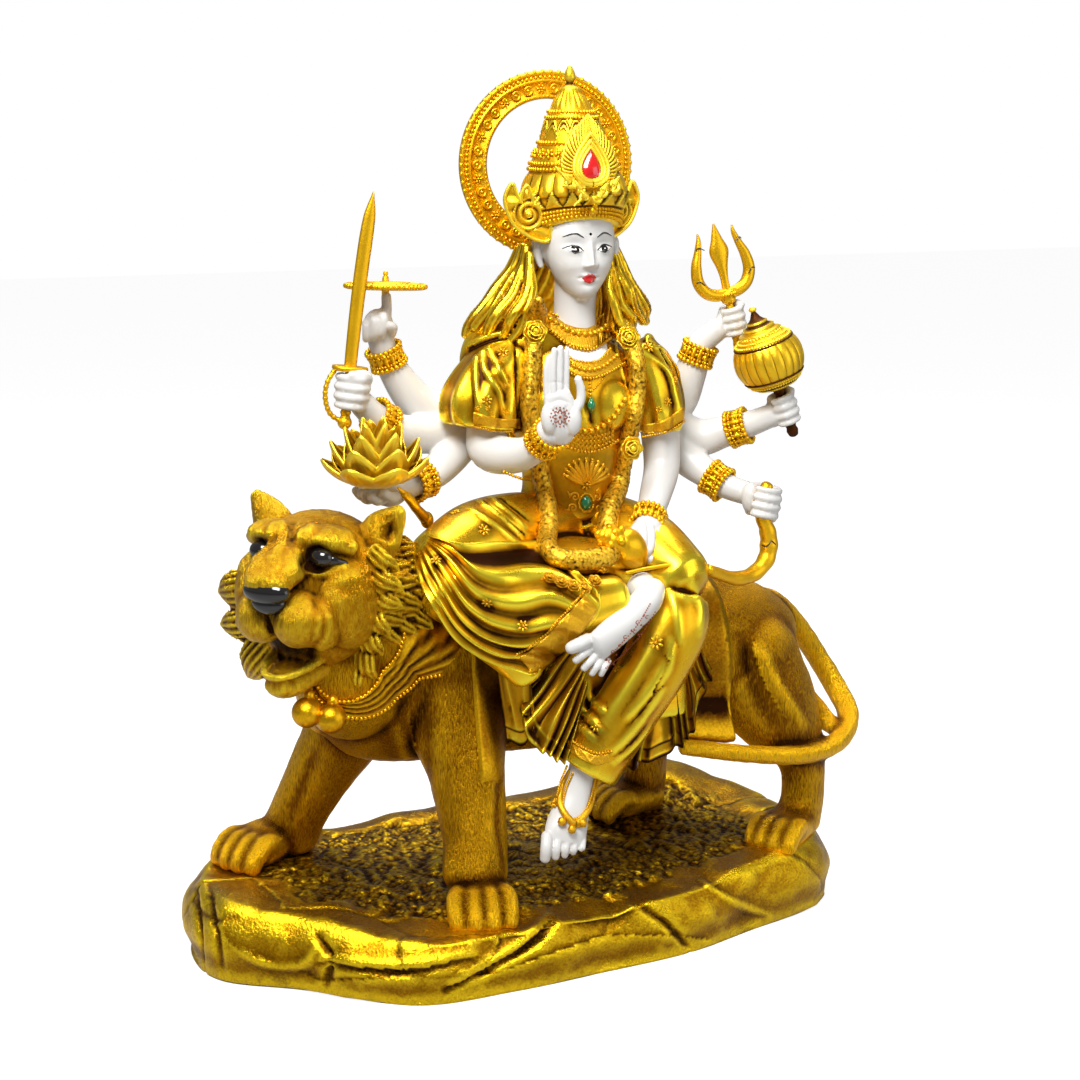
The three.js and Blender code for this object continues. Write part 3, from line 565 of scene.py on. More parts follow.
def gold(name, bright, middle, dark, grain_size=900, bump=0.25, rough=0.38, metal=0.7, depth=0.0006, fur=None,
         speckle=0.35):
    """Gold paint over a cast surface: brown patina and painted shade in the hollows, worn to bright yellow
    with a painted highlight on the ridges.
    """
    made = Finish(name)
    patina_and_painted_shade = made.attribute("patina_and_painted_shade")
    ridge = made.attribute("ridge")
    patches = made.grain(45, 4)
    fine = made.grain(grain_size, 3, stretch=fur or (1, 1, 1), rough=0.6)
    # Painted highlight: the ridge attribute lightens the colour towards the bright tone, together with wear.
    lift = (ridge * 0.9 + (patches - 0.5) * 0.3 + (fine - 0.5) * speckle).most(0).least(1)
    colour = made.mix(lift, middle, bright)
    # Painted shade: the hollows darken towards the dark tone, together with the patina.
    sunk = (patina_and_painted_shade * 1.1 + (0.5 - fine) * speckle + (0.45 - patches) * 0.4).most(0).least(1)
    colour = made.mix(sunk, colour, dark)
    made.surface(Base_Color=colour, Metallic=metal, Roughness=(rough + (patches - 0.5) * 0.25 + patina_and_painted_shade * 0.2))
    made.bump(fine, bump, depth)
    return made.material


def plain(name, colour, rough, metal=0.0, coat=0.0, mottle=0.0, other=(0.5, 0.5, 0.5)):
    made = Finish(name)
    patches = made.grain(60, 4)
    made.surface(
        Base_Color=made.mix((patches - 0.35).most(0) * mottle, colour, other),
        Roughness=(patches * 0.1 + rough - 0.05),
        Metallic=metal,
        Coat_Weight=coat,
    )
    made.bump(made.grain(700, 2), 0.08, 0.0003)
    return made.material


GOLD = gold("bright_gold_paint", (1.0, 0.76, 0.05), (0.86, 0.48, 0.008), (0.07, 0.020, 0.001), metal=0.85)
GOLD_GRAINY = gold(
    "gold_paint_on_beads", (1.0, 0.78, 0.08), (0.72, 0.38, 0.009), (0.05, 0.016, 0.001), 1500, 0.5, 0.36,
    0.78, speckle=0.8,
)
ROBE_GOLD = gold(
    "gold_paint_on_robe", (1.0, 0.80, 0.04), (0.70, 0.33, 0.003), (0.03, 0.007, 0.0001), 500, 0.1, 0.28, 0.92,
    speckle=0.2,
)
# The lion's own old gold, with its middle tone darker than HEAD_GOLD's as painted shade on the body and legs.
SHADED_FUR_GOLD = gold(
    "old_gold_paint_on_fur_in_painted_shade", (1.0, 0.56, 0.010), (0.25, 0.090, 0.0006), (0.024, 0.006, 0.0001), 1000, 1.0,
    0.32, 0.97, 0.0014, (1.5, 1.5, 0.25), 1.3,
)
HEAD_GOLD = gold(
    "old_gold_paint_on_head", (1.0, 0.74, 0.03), (0.54, 0.24, 0.002), (0.026, 0.007, 0.0001), 1100, 0.9, 0.3,
    0.93, 0.0013, (1.5, 1.5, 0.25), 0.8,
)
ROCK_GOLD = gold(
    "old_gold_paint_on_rock", (1.0, 0.68, 0.015), (0.38, 0.175, 0.001), (0.026, 0.007, 0.0001), 700, 0.6, 0.3,
    0.95, 0.001, speckle=0.8,
)
SADDLE_GOLD = gold(
    "old_gold_paint_on_saddle", (1.0, 0.55, 0.010), (0.30, 0.105, 0.0007), (0.022, 0.005, 0.0001), 700, 0.3,
    0.3, 0.96, 0.0008, speckle=0.5,
)
WHITE = plain("white_skin_paint", (0.8, 0.78, 0.74), 0.35, mottle=0.2, other=(0.6, 0.54, 0.4))
BLACK = plain("black_paint", (0.006, 0.005, 0.005), 0.12, coat=0.5)
RED = plain("red_paint", (0.5, 0.006, 0.006), 0.15, coat=0.8)
GREEN = plain("green_paint", (0.0, 0.16, 0.06), 0.1, coat=0.8)
HENNA = plain("red_brown_paint", (0.28, 0.05, 0.015), 0.5)


# Shapes that are shared by several pieces.


def seen(u, v, y, *girth):
    """A station whose middle the photograph shows at this pixel, at this depth."""
    return [*at_depth((u, v), y), *girth]


def shape_of(ob):
    """The mesh of an object made with Blender's own tools, which is then put away."""
    verts = points_of(ob)
    faces = [tuple(p.vertices) for p in ob.data.polygons]
    bpy.data.objects.remove(ob)
    return verts, faces


def spun(profile, steps=48):
    """A turned form: a closed profile of [radius, height] points, spun about the Z axis."""
    deselect()
    bpy.ops.mesh.primitive_circle_add(vertices=len(profile), radius=1)
    ob = bpy.context.object
    for vertex, (r, z) in zip(ob.data.vertices, profile):
        vertex.co = (r, 0, z)
    bpy.ops.object.mode_set(mode="EDIT")
    bpy.ops.mesh.select_all(action="SELECT")
    bpy.ops.mesh.spin(steps=steps, angle=2 * math.pi, center=(0, 0, 0), axis=(0, 0, 1))
    bpy.ops.object.mode_set(mode="OBJECT")
    close_up(ob)
    return shape_of(ob)


def ribbed_band(radius, length, thick, ribs):
    """A bracelet's band: every other face of a short tube is drawn out as a rib."""
    deselect()
    bpy.ops.mesh.primitive_cylinder_add(
        vertices=ribs * 2, radius=radius, depth=length, end_fill_type="NOTHING"
    )
    ob = bpy.context.object
    bpy.ops.object.mode_set(mode="EDIT")
    bpy.ops.mesh.select_mode(type="FACE")
    bpy.ops.mesh.select_all(action="DESELECT")
    bpy.ops.object.mode_set(mode="OBJECT")
    for face in ob.data.polygons:
        face.select = face.index % 2 == 0
    bpy.ops.object.mode_set(mode="EDIT")
    bpy.ops.mesh.inset(thickness=radius * 0.02, depth=thick * 0.5, use_individual=True)
    bpy.ops.object.mode_set(mode="OBJECT")
    modify(ob, "SOLIDIFY", thickness=thick, offset=-1)
    return shape_of(ob)


BEAD = ball((0, 0, 0), (1, 1, 1), sides=6, rows=4)


def along(line, gap, ends=True):
    """Points on a line, one to each gap, with the direction of the line there."""
    line = np.asarray(line, float)
    far = np.concatenate([[0], np.cumsum(np.linalg.norm(np.diff(line, axis=0), axis=1))])
    count = max(2, int(round(far[-1] / gap)))
    spots = np.linspace(0, far[-1], count, endpoint=ends)
    return np.stack([np.interp(spots, far, line[:, k]) for k in range(3)], 1)


def beads(line, radius, gap=1.9, closed=False):
    """A string of beads along a line."""
    return [placed(BEAD, p, size=radius) for p in along(line, radius * gap, not closed)]


def hoop(at, way, radius, count=72, squash=1.0):
    """A circle of points about a way, closed."""
    way = unit(way)
    side = unit(np.cross(way, [0.3, 0.2, 1.0]))
    other = np.cross(way, side)
    a = np.linspace(0, 2 * math.pi, count)[:, None]
    return np.asarray(at, float) + radius * (side * np.cos(a) + other * np.sin(a) * squash)


def girdle(surface, centre, way, count=120, reach=120.0, lift=0.0, start=0.0, end=360.0):
    """Where a flat cut across a surface meets its skin, all the way round."""
    way = unit(way)
    side = unit(np.cross(way, [0.0, 1.0, 0.01]))
    other = np.cross(way, side)
    made = []
    for a in np.radians(np.linspace(start, end, count)):
        out = side * math.cos(a) + other * math.sin(a)
        hit = surface.ray_cast(Vector(centre + out * reach), Vector(-out))
        if hit[0] is not None:
            made.append(np.array(hit[0]) + out * lift)
    return np.array(made)


def rosette(petals=6, radius=1.0, height=0.35):
    """A small flower that lies flat on the origin and faces up."""
    parts = [placed(BEAD, (0, 0, height * 0.6), size=0.28 * radius)]
    for i in range(petals):
        a = i / petals * 2 * math.pi
        at = (0.6 * radius * math.cos(a), 0.6 * radius * math.sin(a), height * 0.3)
        reach = (0.42 * radius, 0.24 * radius * 6 / petals, height * 0.5)
        parts.append(ball(at, reach, turn=math.degrees(a), sides=7, rows=4))
    return joined(parts)


def rose(radius):
    """A full-blown rose: leaves of a flower turned round a bud."""
    parts = [ball((0, 0, 0.34 * radius), (0.26 * radius, 0.26 * radius, 0.3 * radius), sides=10, rows=7)]
    for ring, (count, reach, lift) in enumerate([(3, 0.38, 0.62), (5, 0.62, 0.42), (6, 0.86, 0.2)]):
        for i in range(count):
            a = i / count * 2 * math.pi + ring
            parts.append(petal_leaf(a, reach * radius, lift * radius, 0.5 * radius, 0.1 * radius))
    return joined(parts)


def ring_of(shapes, count, radius, z, size):
    """Copies of a few shapes in turn, all upright, on a circle round the Z axis."""
    made = []
    for i in range(count):
        a = i / count * 2 * math.pi
        at = (radius * math.cos(a), radius * math.sin(a), z)
        made.append(placed(shapes[i % len(shapes)], at, size=size))
    return made


def petal_leaf(a, reach, lift, wide, thick):
    """One rounded petal standing round the Z axis, open at the top."""
    out = np.array([math.cos(a), math.sin(a), 0])
    aside = np.array([-math.sin(a), math.cos(a), 0])
    us = np.linspace(0, 1, 6)
    vs = np.linspace(-1, 1, 7)
    outer = []
    for u in us:
        for v in vs:
            w = wide * math.sin(math.pi * (0.25 + 0.55 * u)) * v
            r = reach * (0.55 + 0.45 * u**1.3) - 0.35 * wide * v * v
            outer.append(out * r + aside * w + np.array([0, 0, lift * (u - 0.12 * v * v * u)]))
    outer = np.array(outer)
    inner = outer - out * thick - np.array([0, 0, thick * 0.4])
    return thick_sheet(outer, inner, len(us), len(vs))


def thick_sheet(outer, inner, rows, across):
    """Closes two like grids of points into one solid sheet."""
    n = rows * across
    faces = lattice(rows, across, closed=False)
    faces += [tuple(reversed([i + n for i in f])) for f in lattice(rows, across, closed=False)]
    edge = [i for i in range(across)]
    edge += [r * across + across - 1 for r in range(1, rows)]
    edge += [(rows - 1) * across + i for i in range(across - 2, -1, -1)]
    edge += [r * across for r in range(rows - 2, 0, -1)]
    for a, b in zip(edge, edge[1:] + edge[:1]):
        faces.append((b, a, a + n, b + n))
    return np.vstack([outer, inner]), faces


def boss(outline, centre, put, rise, rings=14, back=-1.2):
    """A closed low plate: its outline and centre are pairs, put places a pair, rise gives the height."""
    outline = np.asarray(outline, float)
    centre = np.asarray(centre, float)
    count = len(outline)
    front, behind = [], []
    for ring in range(rings):
        share = 0.002 + 0.998 * ring / (rings - 1)
        for i, edge in enumerate(outline):
            pair = centre + (edge - centre) * share
            front.append(put(pair, rise(share, i / count, pair)))
            behind.append(put(pair, back))
    shell = lattice(rings, count)
    size = rings * count
    faces = [tuple(reversed(f)) for f in shell] + [tuple(i + size for i in f) for f in shell]
    last = size - count
    for s in range(count):
        nxt = (s + 1) % count
        faces.append((last + s, last + nxt, last + nxt + size, last + s + size))
    faces.append(tuple(range(count)))
    faces.append(tuple(size + s for s in reversed(range(count))))
    return np.array(front + behind), faces


def painted_line(surface, pixels, width, lift=0.1, ends=0.35):
    """A brush line that follows a surface: a thin tapered strand half sunk in it."""
    line = onto(surface, smooth_line(pixels, max(8, len(pixels) * 6)), lift=lift)
    n = len(line)
    swell = [ends + (1 - ends) * math.sin(3.14 * i / (n - 1)) ** 0.7 for i in range(n)]
    rows = [[*p, width * s] for p, s in zip(line, swell)]
    return limb(rows, sides=8, rings=n * 2, blunt=0.5)


def motif_on(surface, pixel, shape, size, spare_y=SPARE_Y, sink=0.0):
    """A flat ornament laid on a surface where the photograph shows it."""
    d = sight(pixel)
    hit = surface.ray_cast(Vector(EYE), Vector(d))
    if hit[0] is None:
        return placed(shape, at_depth(pixel, spare_y), way=-VIEW, size=size)
    at = np.array(hit[0]) - np.array(hit[1]) * sink
    return placed(shape, at, way=hit[1], size=size)


def curl(radius, thick, hand=1, turns=1.4, tail=1.2):
    """A flat scroll on the XY plane that opens towards +Y."""
    steps = 26
    rows = []
    for i in range(steps):
        t = i / (steps - 1)
        a = hand * t * turns * 2 * math.pi
        r = radius * (0.12 + 0.88 * t)
        rows.append([r * math.cos(a), r * math.sin(a), 0, thick * (0.5 + 0.5 * t), thick])
    if tail:
        x, y = rows[-1][0], rows[-1][1]
        rows.append([x + hand * 0.1 * radius, y + tail * radius, 0, thick * 0.5, thick * 0.7])
    return limb(rows, sides=6, rings=steps * 2)


# The plinth.

PLINTH_HEIGHT = 38
PLINTH_OUTLINE = [
    (-186, -14), (-176, -42), (-140, -66), (-92, -103), (-40, -104), (8, -98),
    (62, -90), (108, -73), (150, -57), (171, -36), (172, -4), (150, 44),
    (104, 76), (44, 76), (-40, 70), (-94, 62), (-150, 56), (-180, 22),
]


def make_plinth():
    sides = 720
    centre = np.array([-6.0, -14.0])
    rim = smooth_line([(x, y, 0) for x, y in PLINTH_OUTLINE], sides, closed=True)[:, :2]
    rows = [(s**0.62, 1.0) for s in np.linspace(0.001, 0.93**1.6, 104)]
    side = [(0.94, 0, 0), (0.985, 0, 0), (1.0, 0, 0), (0.985, 0, 0), (0.975, 0, 0)]
    rows += list(zip(smooth_line(side, 26)[:, 0], np.linspace(0.99, 0.0, 26)))
    rows += [(0.8, 0.0), (0.4, 0.0), (0.001, 0.0)]
    share = np.repeat([r[0] for r in rows], sides)
    rise = np.repeat([r[1] for r in rows], sides)
    ground = np.tile(rim, (len(rows), 1))
    flat = centre + (ground - centre) * share[:, None]
    out = unit(np.column_stack([ground - centre, np.zeros(len(ground))]))
    x, y = flat.T
    front = -8 * np.clip((-y - 40) / 60, 0, 1)
    mound = 15 * np.exp(-(((x - 100) / 55) ** 2) - ((y - 52) / 34) ** 2)
    level = PLINTH_HEIGHT + front + mound
    p = np.column_stack([flat, rise * level])
    ragged = 0.07 * noise(p, 22, 7) + 0.03 * noise(p, 7, 8)
    edge = np.clip((share + ragged - 0.72) / 0.05, 0, 1) * (rise > 0)
    block, crack = slabs(p * [0.5, 1, 1.5], 62, 4)
    soil = (1 - edge) * (rise > 0.99)
    lump = 1.6 * noise(p, 14, 1) + 0.9 * noise(p, 6, 2)
    grit = 1.1 * (0.6 - cells(p, 2.2, 1)) + 0.9 * noise(p, 3.1, 2) + 0.9 * noise(p, 7.5, 13)
    ripple = 0.7 * noise(p, 11, 6) + 0.3 * noise(p, 4, 3)
    swell = 3.0 * noise(p, 44, 11) + 2.0 * noise(p, 22, 12) + 0.7 * noise(p, 9, 14)
    top = edge * (0.9 * block + swell + ripple * 0.5) + soil * (lump * 0.8 + grit)
    cut = edge * (-0.4 * np.exp(-((crack / 3.0) ** 2)))
    wall = (rise < 0.99) * (rise > 0)
    p[:, 2] += (top + cut) * np.where(wall, rise, rise > 0)
    bulge = wall * (0.9 * block + swell + ripple * 0.5 + cut)
    p += out * bulge[:, None]
    p[:, 2] = np.where(rise > 0, np.maximum(p[:, 2], 0.2 * rise), 0)
    ob = build("rocky_plinth", (p, [tuple(reversed(f)) for f in lattice(len(rows), sides)]))
    tone(ob, "soil", soil)
    close_up(ob, 0.05)
    surface = surface_of(ob)
    cracks = [
        ([(446, 991), (480, 975), (520, 952), (553, 924)], 2.0, -4.5),
        ([(452, 982), (486, 963), (524, 940), (548, 915)], 3.0, 2.4),
        ([(318, 936), (330, 958), (326, 985)], 2.2, -3.0),
        ([(322, 958), (370, 964), (420, 964), (470, 953)], 3.4, 2.0),
        ([(322, 964), (370, 972), (420, 972), (470, 960)], 2.0, -1.6),
        ([(196, 886), (200, 930), (204, 974)], 1.8, -2.0),
        ([(208, 884), (216, 930), (222, 972)], 2.0, -2.0),
        ([(237, 948), (262, 962), (300, 965), (316, 950)], 2.6, 1.8),
        ([(640, 905), (668, 925), (690, 950)], 1.8, -2.4),
        ([(700, 880), (730, 900), (770, 915)], 2.2, 1.6),
    ]
    carve(ob, strokes_on(surface, cracks))
    find_hollows(ob, 12, 0.6)
    # Patina and painted shade in the hollows; the soil is darker all over.
    tone(ob, "patina_and_painted_shade", np.clip(tone_of(ob, "patina_and_painted_shade") * 0.8 + 0.42 * tone_of(ob, "soil"), 0, 1))
    settle(ob, "lion_and_plinth", ROCK_GOLD)


make_plinth()


# The lion.

TRUNK = [
    [147, -6, 124, 14, 22], [134, -6, 131, 27, 37], [112, -6, 135, 33, 44], [72, -6, 135, 34, 43],
    [26, -6, 136, 34, 43], [-20, -6, 140, 36, 46], [-58, -6, 146, 38, 52], [-90, -9, 150, 34, 50],
    [-108, -12, 152, 24, 38],
]
NEAR_FORELEG = [
    [-50, -28, 152, 28, 17], [-47, -34, 120, 25, 17], [-44, -42, 92, 20, 16], [-43, -50, 66, 17, 15],
    [-45, -57, 46, 17, 15],
]
FAR_FORELEG = [
    [-76, 6, 142, 30, 18], [-90, 14, 112, 24, 17], [-104, 21, 86, 19, 15], [-115, 26, 64, 16, 14],
    [-122, 28, 48, 16, 14],
]
NEAR_HINDLEG = [
    [122, -26, 132, 31, 15], [138, -30, 105, 25, 15], [151, -33, 80, 14, 12], [152, -35, 60, 12, 11],
    [148, -37, 45, 13, 12],
]
FAR_HINDLEG = [
    [98, 14, 128, 32, 15], [88, 18, 100, 24, 14], [80, 19, 78, 15, 12], [80, 19, 62, 13, 11],
    [78, 19, 48, 13, 12],
]
TAIL = [
    [132, 0, 164, 6.5], [150, 3, 159, 6.5], [166, 4, 143, 6.4], [179, 3, 124, 6.3], [187, -4, 108, 6.3],
    [188, -18, 95, 6.2], [172, -36, 87, 5.8], [144, -47, 86, 5.4], [112, -51, 91, 5], [72, -53, 100, 4.6],
]
HEAD_AT = np.array([-115.0, -27.0, 200.0])
HEAD_TURN = 222
HEADING = math.radians(HEAD_TURN)
AHEAD = np.array([math.cos(HEADING), math.sin(HEADING), 0])
ACROSS = np.array([-math.sin(HEADING), math.cos(HEADING), 0])
NECK_STATIONS = [[-84, -12, 156, 36, 42], [-98, -17, 172, 36, 36], [-108, -22, 188, 30, 30]]


def on_head(f, s, u, *girth):
    """A point or station by its way forward, to the lion's left and up from the middle of its skull."""
    return [*(HEAD_AT + AHEAD * f + ACROSS * s + np.array([0, 0, u])), *girth]


def lion_ball(f, s, u, radii):
    return ball(on_head(f, s, u), radii, turn=HEAD_TURN, sides=28, rows=18)


def paw(at, heading, size, spread=1.0):
    """A paw with four high-knuckled toes, pointing along the heading."""
    turn = math.radians(heading)
    ahead = np.array([math.cos(turn), math.sin(turn), 0])
    aside = np.array([-math.sin(turn), math.cos(turn), 0])

    def spot(reach, off, rise, *girth):
        return [*(np.asarray(at) + (ahead * reach + aside * off + np.array([0, 0, rise])) * size),
                *[g * size for g in girth]]

    parts = [limb([spot(-14, 0, 2, 12, 9.5), spot(0, 0, 2, 14.5, 10), spot(10, 0, 0, 15, 8.5)], wide=aside,
                  sides=28)]
    for k in (-1.5, -0.5, 0.5, 1.5):
        off = 7.4 * k * spread
        long = 2.5 - abs(k) * 1.6
        toe = [spot(2, off * 0.86, 3.5, 4.6), spot(10 + long, off, 5.2, 5.0),
               spot(17 + long, off * 1.04, 0.6, 4.9),
               spot(20 + long, off * 1.05, -4.5, 4.2)]
        parts.append(limb(toe, wide=aside, sides=16))
    return parts


def tuft(root, tip, half, bend=(0, 0, 0), flat=0.5):
    """One broad lock of the mane with the grooves of its strands, from its root to its tip."""
    root, tip = np.asarray(root, float), np.asarray(tip, float)
    middle = (root + tip) / 2 + np.asarray(bend, float)
    late = middle * 0.35 + tip * 0.65
    rows = [[*root, half, half * flat], [*middle, half * 1.05, half * flat * 0.9],
            [*late, half * 0.7, half * flat * 0.6], [*tip, half * 0.22, half * 0.14]]
    strands = int(half * 1.5)
    grooved = lambda t, a: 1.12 - 0.34 * np.abs(np.sin(strands * a / 2)) ** 0.7
    return limb(rows, wide=np.cross(unit(tip - root), AHEAD), sides=44, rings=18, blunt=1.1, wave=grooved)


def make_lion():
    body = [
        limb(TRUNK, wide=(0, 1, 0), sides=48, rings=60),
        *[limb(leg, sides=32) for leg in (NEAR_FORELEG, FAR_FORELEG, NEAR_HINDLEG, FAR_HINDLEG)],
        ball([-50, -26, 148], [29, 20, 36], sides=28, rows=18),
        ball([124, -22, 130], [30, 19, 33], sides=28, rows=18),
        ball([-100, -28, 150], [30, 25, 34], sides=28, rows=18),
        ball([150, -34, 62], [10, 9, 12]),
        ball([-44, -40, 90], [19, 17, 20]),
        *paw([-46, -66, 36], 258, 1.12), *paw([-136, 25, 45], 212, 1.1),
        *paw([141, -40, 42], 214, 1.0), *paw([70, 17, 48], 188, 1.0),
        limb(TAIL, wide=(0, 0, 1), sides=20, rings=90),
        limb([[152, -6, 118, 14, 9], [170, -14, 98, 7, 7], [176, -28, 90, 4, 4]], wide=(0, 1, 0)),
        limb(NECK_STATIONS, wide=ACROSS, sides=40),
    ]
    ob = sculpted("lion_body", body, 1.5, 9)
    surface = surface_of(ob)
    folds = [
        ([(762, 650), (776, 682), (803, 724)], 4.0, 1.6),
        ([(742, 640), (756, 690), (778, 730)], 5.0, -1.6),
        ([(430, 700), (424, 742), (428, 786)], 6.0, -1.8),
        ([(392, 716), (404, 752), (420, 800), (434, 850)], 4.0, 1.0),
        ([(500, 770), (498, 820), (504, 868)], 3.0, -0.9),
        ([(318, 745), (300, 790), (290, 815)], 4.0, -1.0),
        ([(775, 762), (772, 800)], 3.0, -0.8),
    ]
    carve(ob, strokes_on(surface, folds))
    find_hollows(ob, 16, 0.5)
    verts = points_of(ob)
    raise_skin(ob, 0.22 * noise(verts * [1, 1, 0.35], 2.6, 3))
    return ob, surface


LION, LION_SKIN = make_lion()


def make_lion_head():
    shapes = [
        lion_ball(0, 0, 3, [33, 36, 32]),
        lion_ball(10, 0, 20, [21, 27, 13]),
        lion_ball(6, 0, -22, [22, 28, 22]),
        limb([on_head(12, -1, 21, 17, 12), on_head(26, -1, 17, 16, 9.5), on_head(37, -1, 12, 15.5, 9.5),
              on_head(46, 0, 6, 12, 7.5)], wide=ACROSS, sides=32),
        lion_ball(31, 0, -8, [15, 22, 12]),
        limb([on_head(4, 0, -35, 18, 9), on_head(20, -1, -43, 13.5, 8), on_head(31, -2, -46.5, 10.5, 7),
              on_head(36, -2, -46, 7.5, 5.5)], wide=ACROSS, sides=32),
        limb([on_head(12, -14, -32, 3.0), on_head(30, -12.5, -37.5, 2.2), on_head(38, -8, -40, 2.0),
              on_head(40, -1, -41, 2.0), on_head(38, 5, -40, 2.0), on_head(30, 10.5, -37.5, 2.2),
              on_head(12, 14, -32, 3.0)], sides=12, rings=50),
    ]
    for side in (-1, 1):
        shapes += [
            lion_ball(35, side * 10.5, -12, [13, 13, 13.5]),
            lion_ball(27, side * 18, -14, [14, 11, 14]),
            lion_ball(10, side * 24, -6, [21, 15, 24]),
            lion_ball(15, side * 25, 6, [13, 11, 9]),
            lion_ball(16, side * 16, 25, [12, 14, 7]),
            lion_ball(21, side * 9, 26, [9, 7, 7]),
            limb([on_head(26, side * 9, 23.0, 3.0), on_head(23.5, side * 18, 25.5, 4.4),
                  on_head(15, side * 29, 22, 4.0)],
                 sides=20),
            limb([on_head(30, side * 10, 13, 2.2), on_head(28, side * 18, 10.5, 2.3),
                  on_head(20, side * 28, 13, 2.4)],
                 sides=14),
            limb([on_head(-6, side * 28, 19, 12, 9), on_head(-6, side * 34, 27, 11, 6.5),
                  on_head(-7, side * 39.5, 33.5, 7.2, 4.4), on_head(-7, side * 43.5, 38, 3.4, 2.2)],
                 wide=ACROSS * 0.9 + np.array([0, 0, -0.5]) * side, sides=24),
        ]
    ob = sculpted("lion_head", shapes, 0.9, 9)
    surface = surface_of(ob)
    folds = [
        ([(284, 528), (280, 545), (272, 560)], 2.6, 0.9),
        ([(293, 520), (290, 548)], 2.2, -0.8),
        ([(304, 522), (302, 544)], 1.8, -0.6),
        ([(276, 522), (272, 540)], 1.8, -0.6),
        ([(312, 600), (324, 618), (321, 640), (306, 656)], 2.2, -1.3),
        ([(222, 586), (218, 600), (222, 618)], 2.2, -1.2),
        ([(385, 522), (389, 532), (386, 543)], 4.0, -4.6),
        ([(264, 612), (268, 624), (272, 636)], 1.6, -2.2),
        ([(330, 570), (345, 590), (352, 620)], 5.0, -0.8),
    ]
    carve(ob, strokes_on(surface, folds))
    sockets = np.array([on_head(31, 18, 18)[:3], on_head(31, -18, 18)[:3]])
    distance = nearest(sockets, points_of(ob))[1]
    raise_skin(ob, -4.2 * np.exp(-((distance / 7.0) ** 3)))
    verts = points_of(ob)
    raise_skin(ob, 0.2 * noise(verts * [1, 1, 0.5], 1.5, 3) + 0.15 * noise(verts, 4, 6))
    find_hollows(ob, 22, 0.7)
    # Painted shade in the eye sockets and inside the open mouth, and the real dark paint under the nose.
    shade_near(ob, sockets, 8.5, 0.9)
    shade_near(ob, np.array([on_head(30, s, -29)[:3] for s in (-9, -3, 3, 9)]), 8.0, 1.0)
    shade_near(ob, np.array([on_head(44, s, -8)[:3] for s in (-5, 0, 5)]), 6.0, 0.8)
    settle(ob, "lion_and_plinth", HEAD_GOLD)

    eyes = []
    for side in (-1, 1):
        eyes.append(ball(on_head(24.5, side * 17.5, 17.8), [5.2, 6.4, 4.9], turn=HEAD_TURN, sides=24,
                         rows=16))
        eyes.append(limb([on_head(26, side * 12, 16.5, 1.8, 1.4), on_head(23.5, side * 22, 16.5, 2.4, 3.0),
                          on_head(18.5, side * 28, 15, 1.0, 1.0)], sides=14))
    eyes.append(ball(on_head(46, 0, 3.6), [6.6, 13, 6.6], turn=HEAD_TURN, sides=32, rows=20))
    eyes.append(ball(on_head(44, 0, -2.5), [6.5, 9.5, 6], turn=HEAD_TURN, sides=24, rows=14))
    settle(build("lion_eyes_and_nose", joined(eyes)), "lion_and_plinth", BLACK)

    # Each lock of the ruff: its root and its tip as [left, up] on the head, and its half width.
    near_locks = [
        ((35, 18), (46, 10), 6.5), ((35, 8), (49, 1), 6.5), ((36, -2), (47, -9), 6.0),
        ((34, -12), (41, -23), 6.5), ((31, -22), (36, -34), 6.5), ((29, -34), (30, -48), 6.0),
        ((23, -40), (22, -55), 6.0), ((15, -43), (13, -60), 5.6), ((7, -45), (3, -64), 5.6),
        ((-1, -45), (-7, -63), 5.6), ((-9, -42), (-17, -60), 6.0), ((-34, -6), (-61, -13), 9.5),
        ((-33, -24), (-60, -30), 8.0), ((-28, -36), (-46, -56), 10.0), ((-20, -40), (-31, -58), 7.0),
    ]
    locks = []
    for number, (root, tip, half) in enumerate(near_locks):
        sway = 1.5 * math.sin(number * 2.3)
        locks.append(tuft(on_head(6, *root), on_head(1 + sway, *tip), half, bend=AHEAD * 3.5))
    for row, (f, out, grow) in enumerate([(-6, 0.99, 0.86), (-13, 1.06, 0.92), (-21, 1.12, 1.05)]):
        count = 25
        for i in range(count):
            a = math.radians(40 - (i + 0.5 * (row % 2)) / (count - 1) * 260)
            s, u = math.cos(a), math.sin(a)
            root = on_head(f + 5, 33 * s * out, 30 * u * out - 8)
            drop = 12 + 3 * math.sin(i * 2.4 + row)
            tip = on_head(f - 7, 43.5 * s * out, 42.5 * u * out - drop)
            locks.append(tuft(root, tip, 7.2 * grow, bend=AHEAD * 2.0))
    ob = build("mane", joined(locks))
    modify(ob, "REMESH", mode="VOXEL", voxel_size=0.7)
    find_hollows(ob, 10, 0.22)
    settle(ob, "lion_and_plinth", HEAD_GOLD)


make_lion_head()


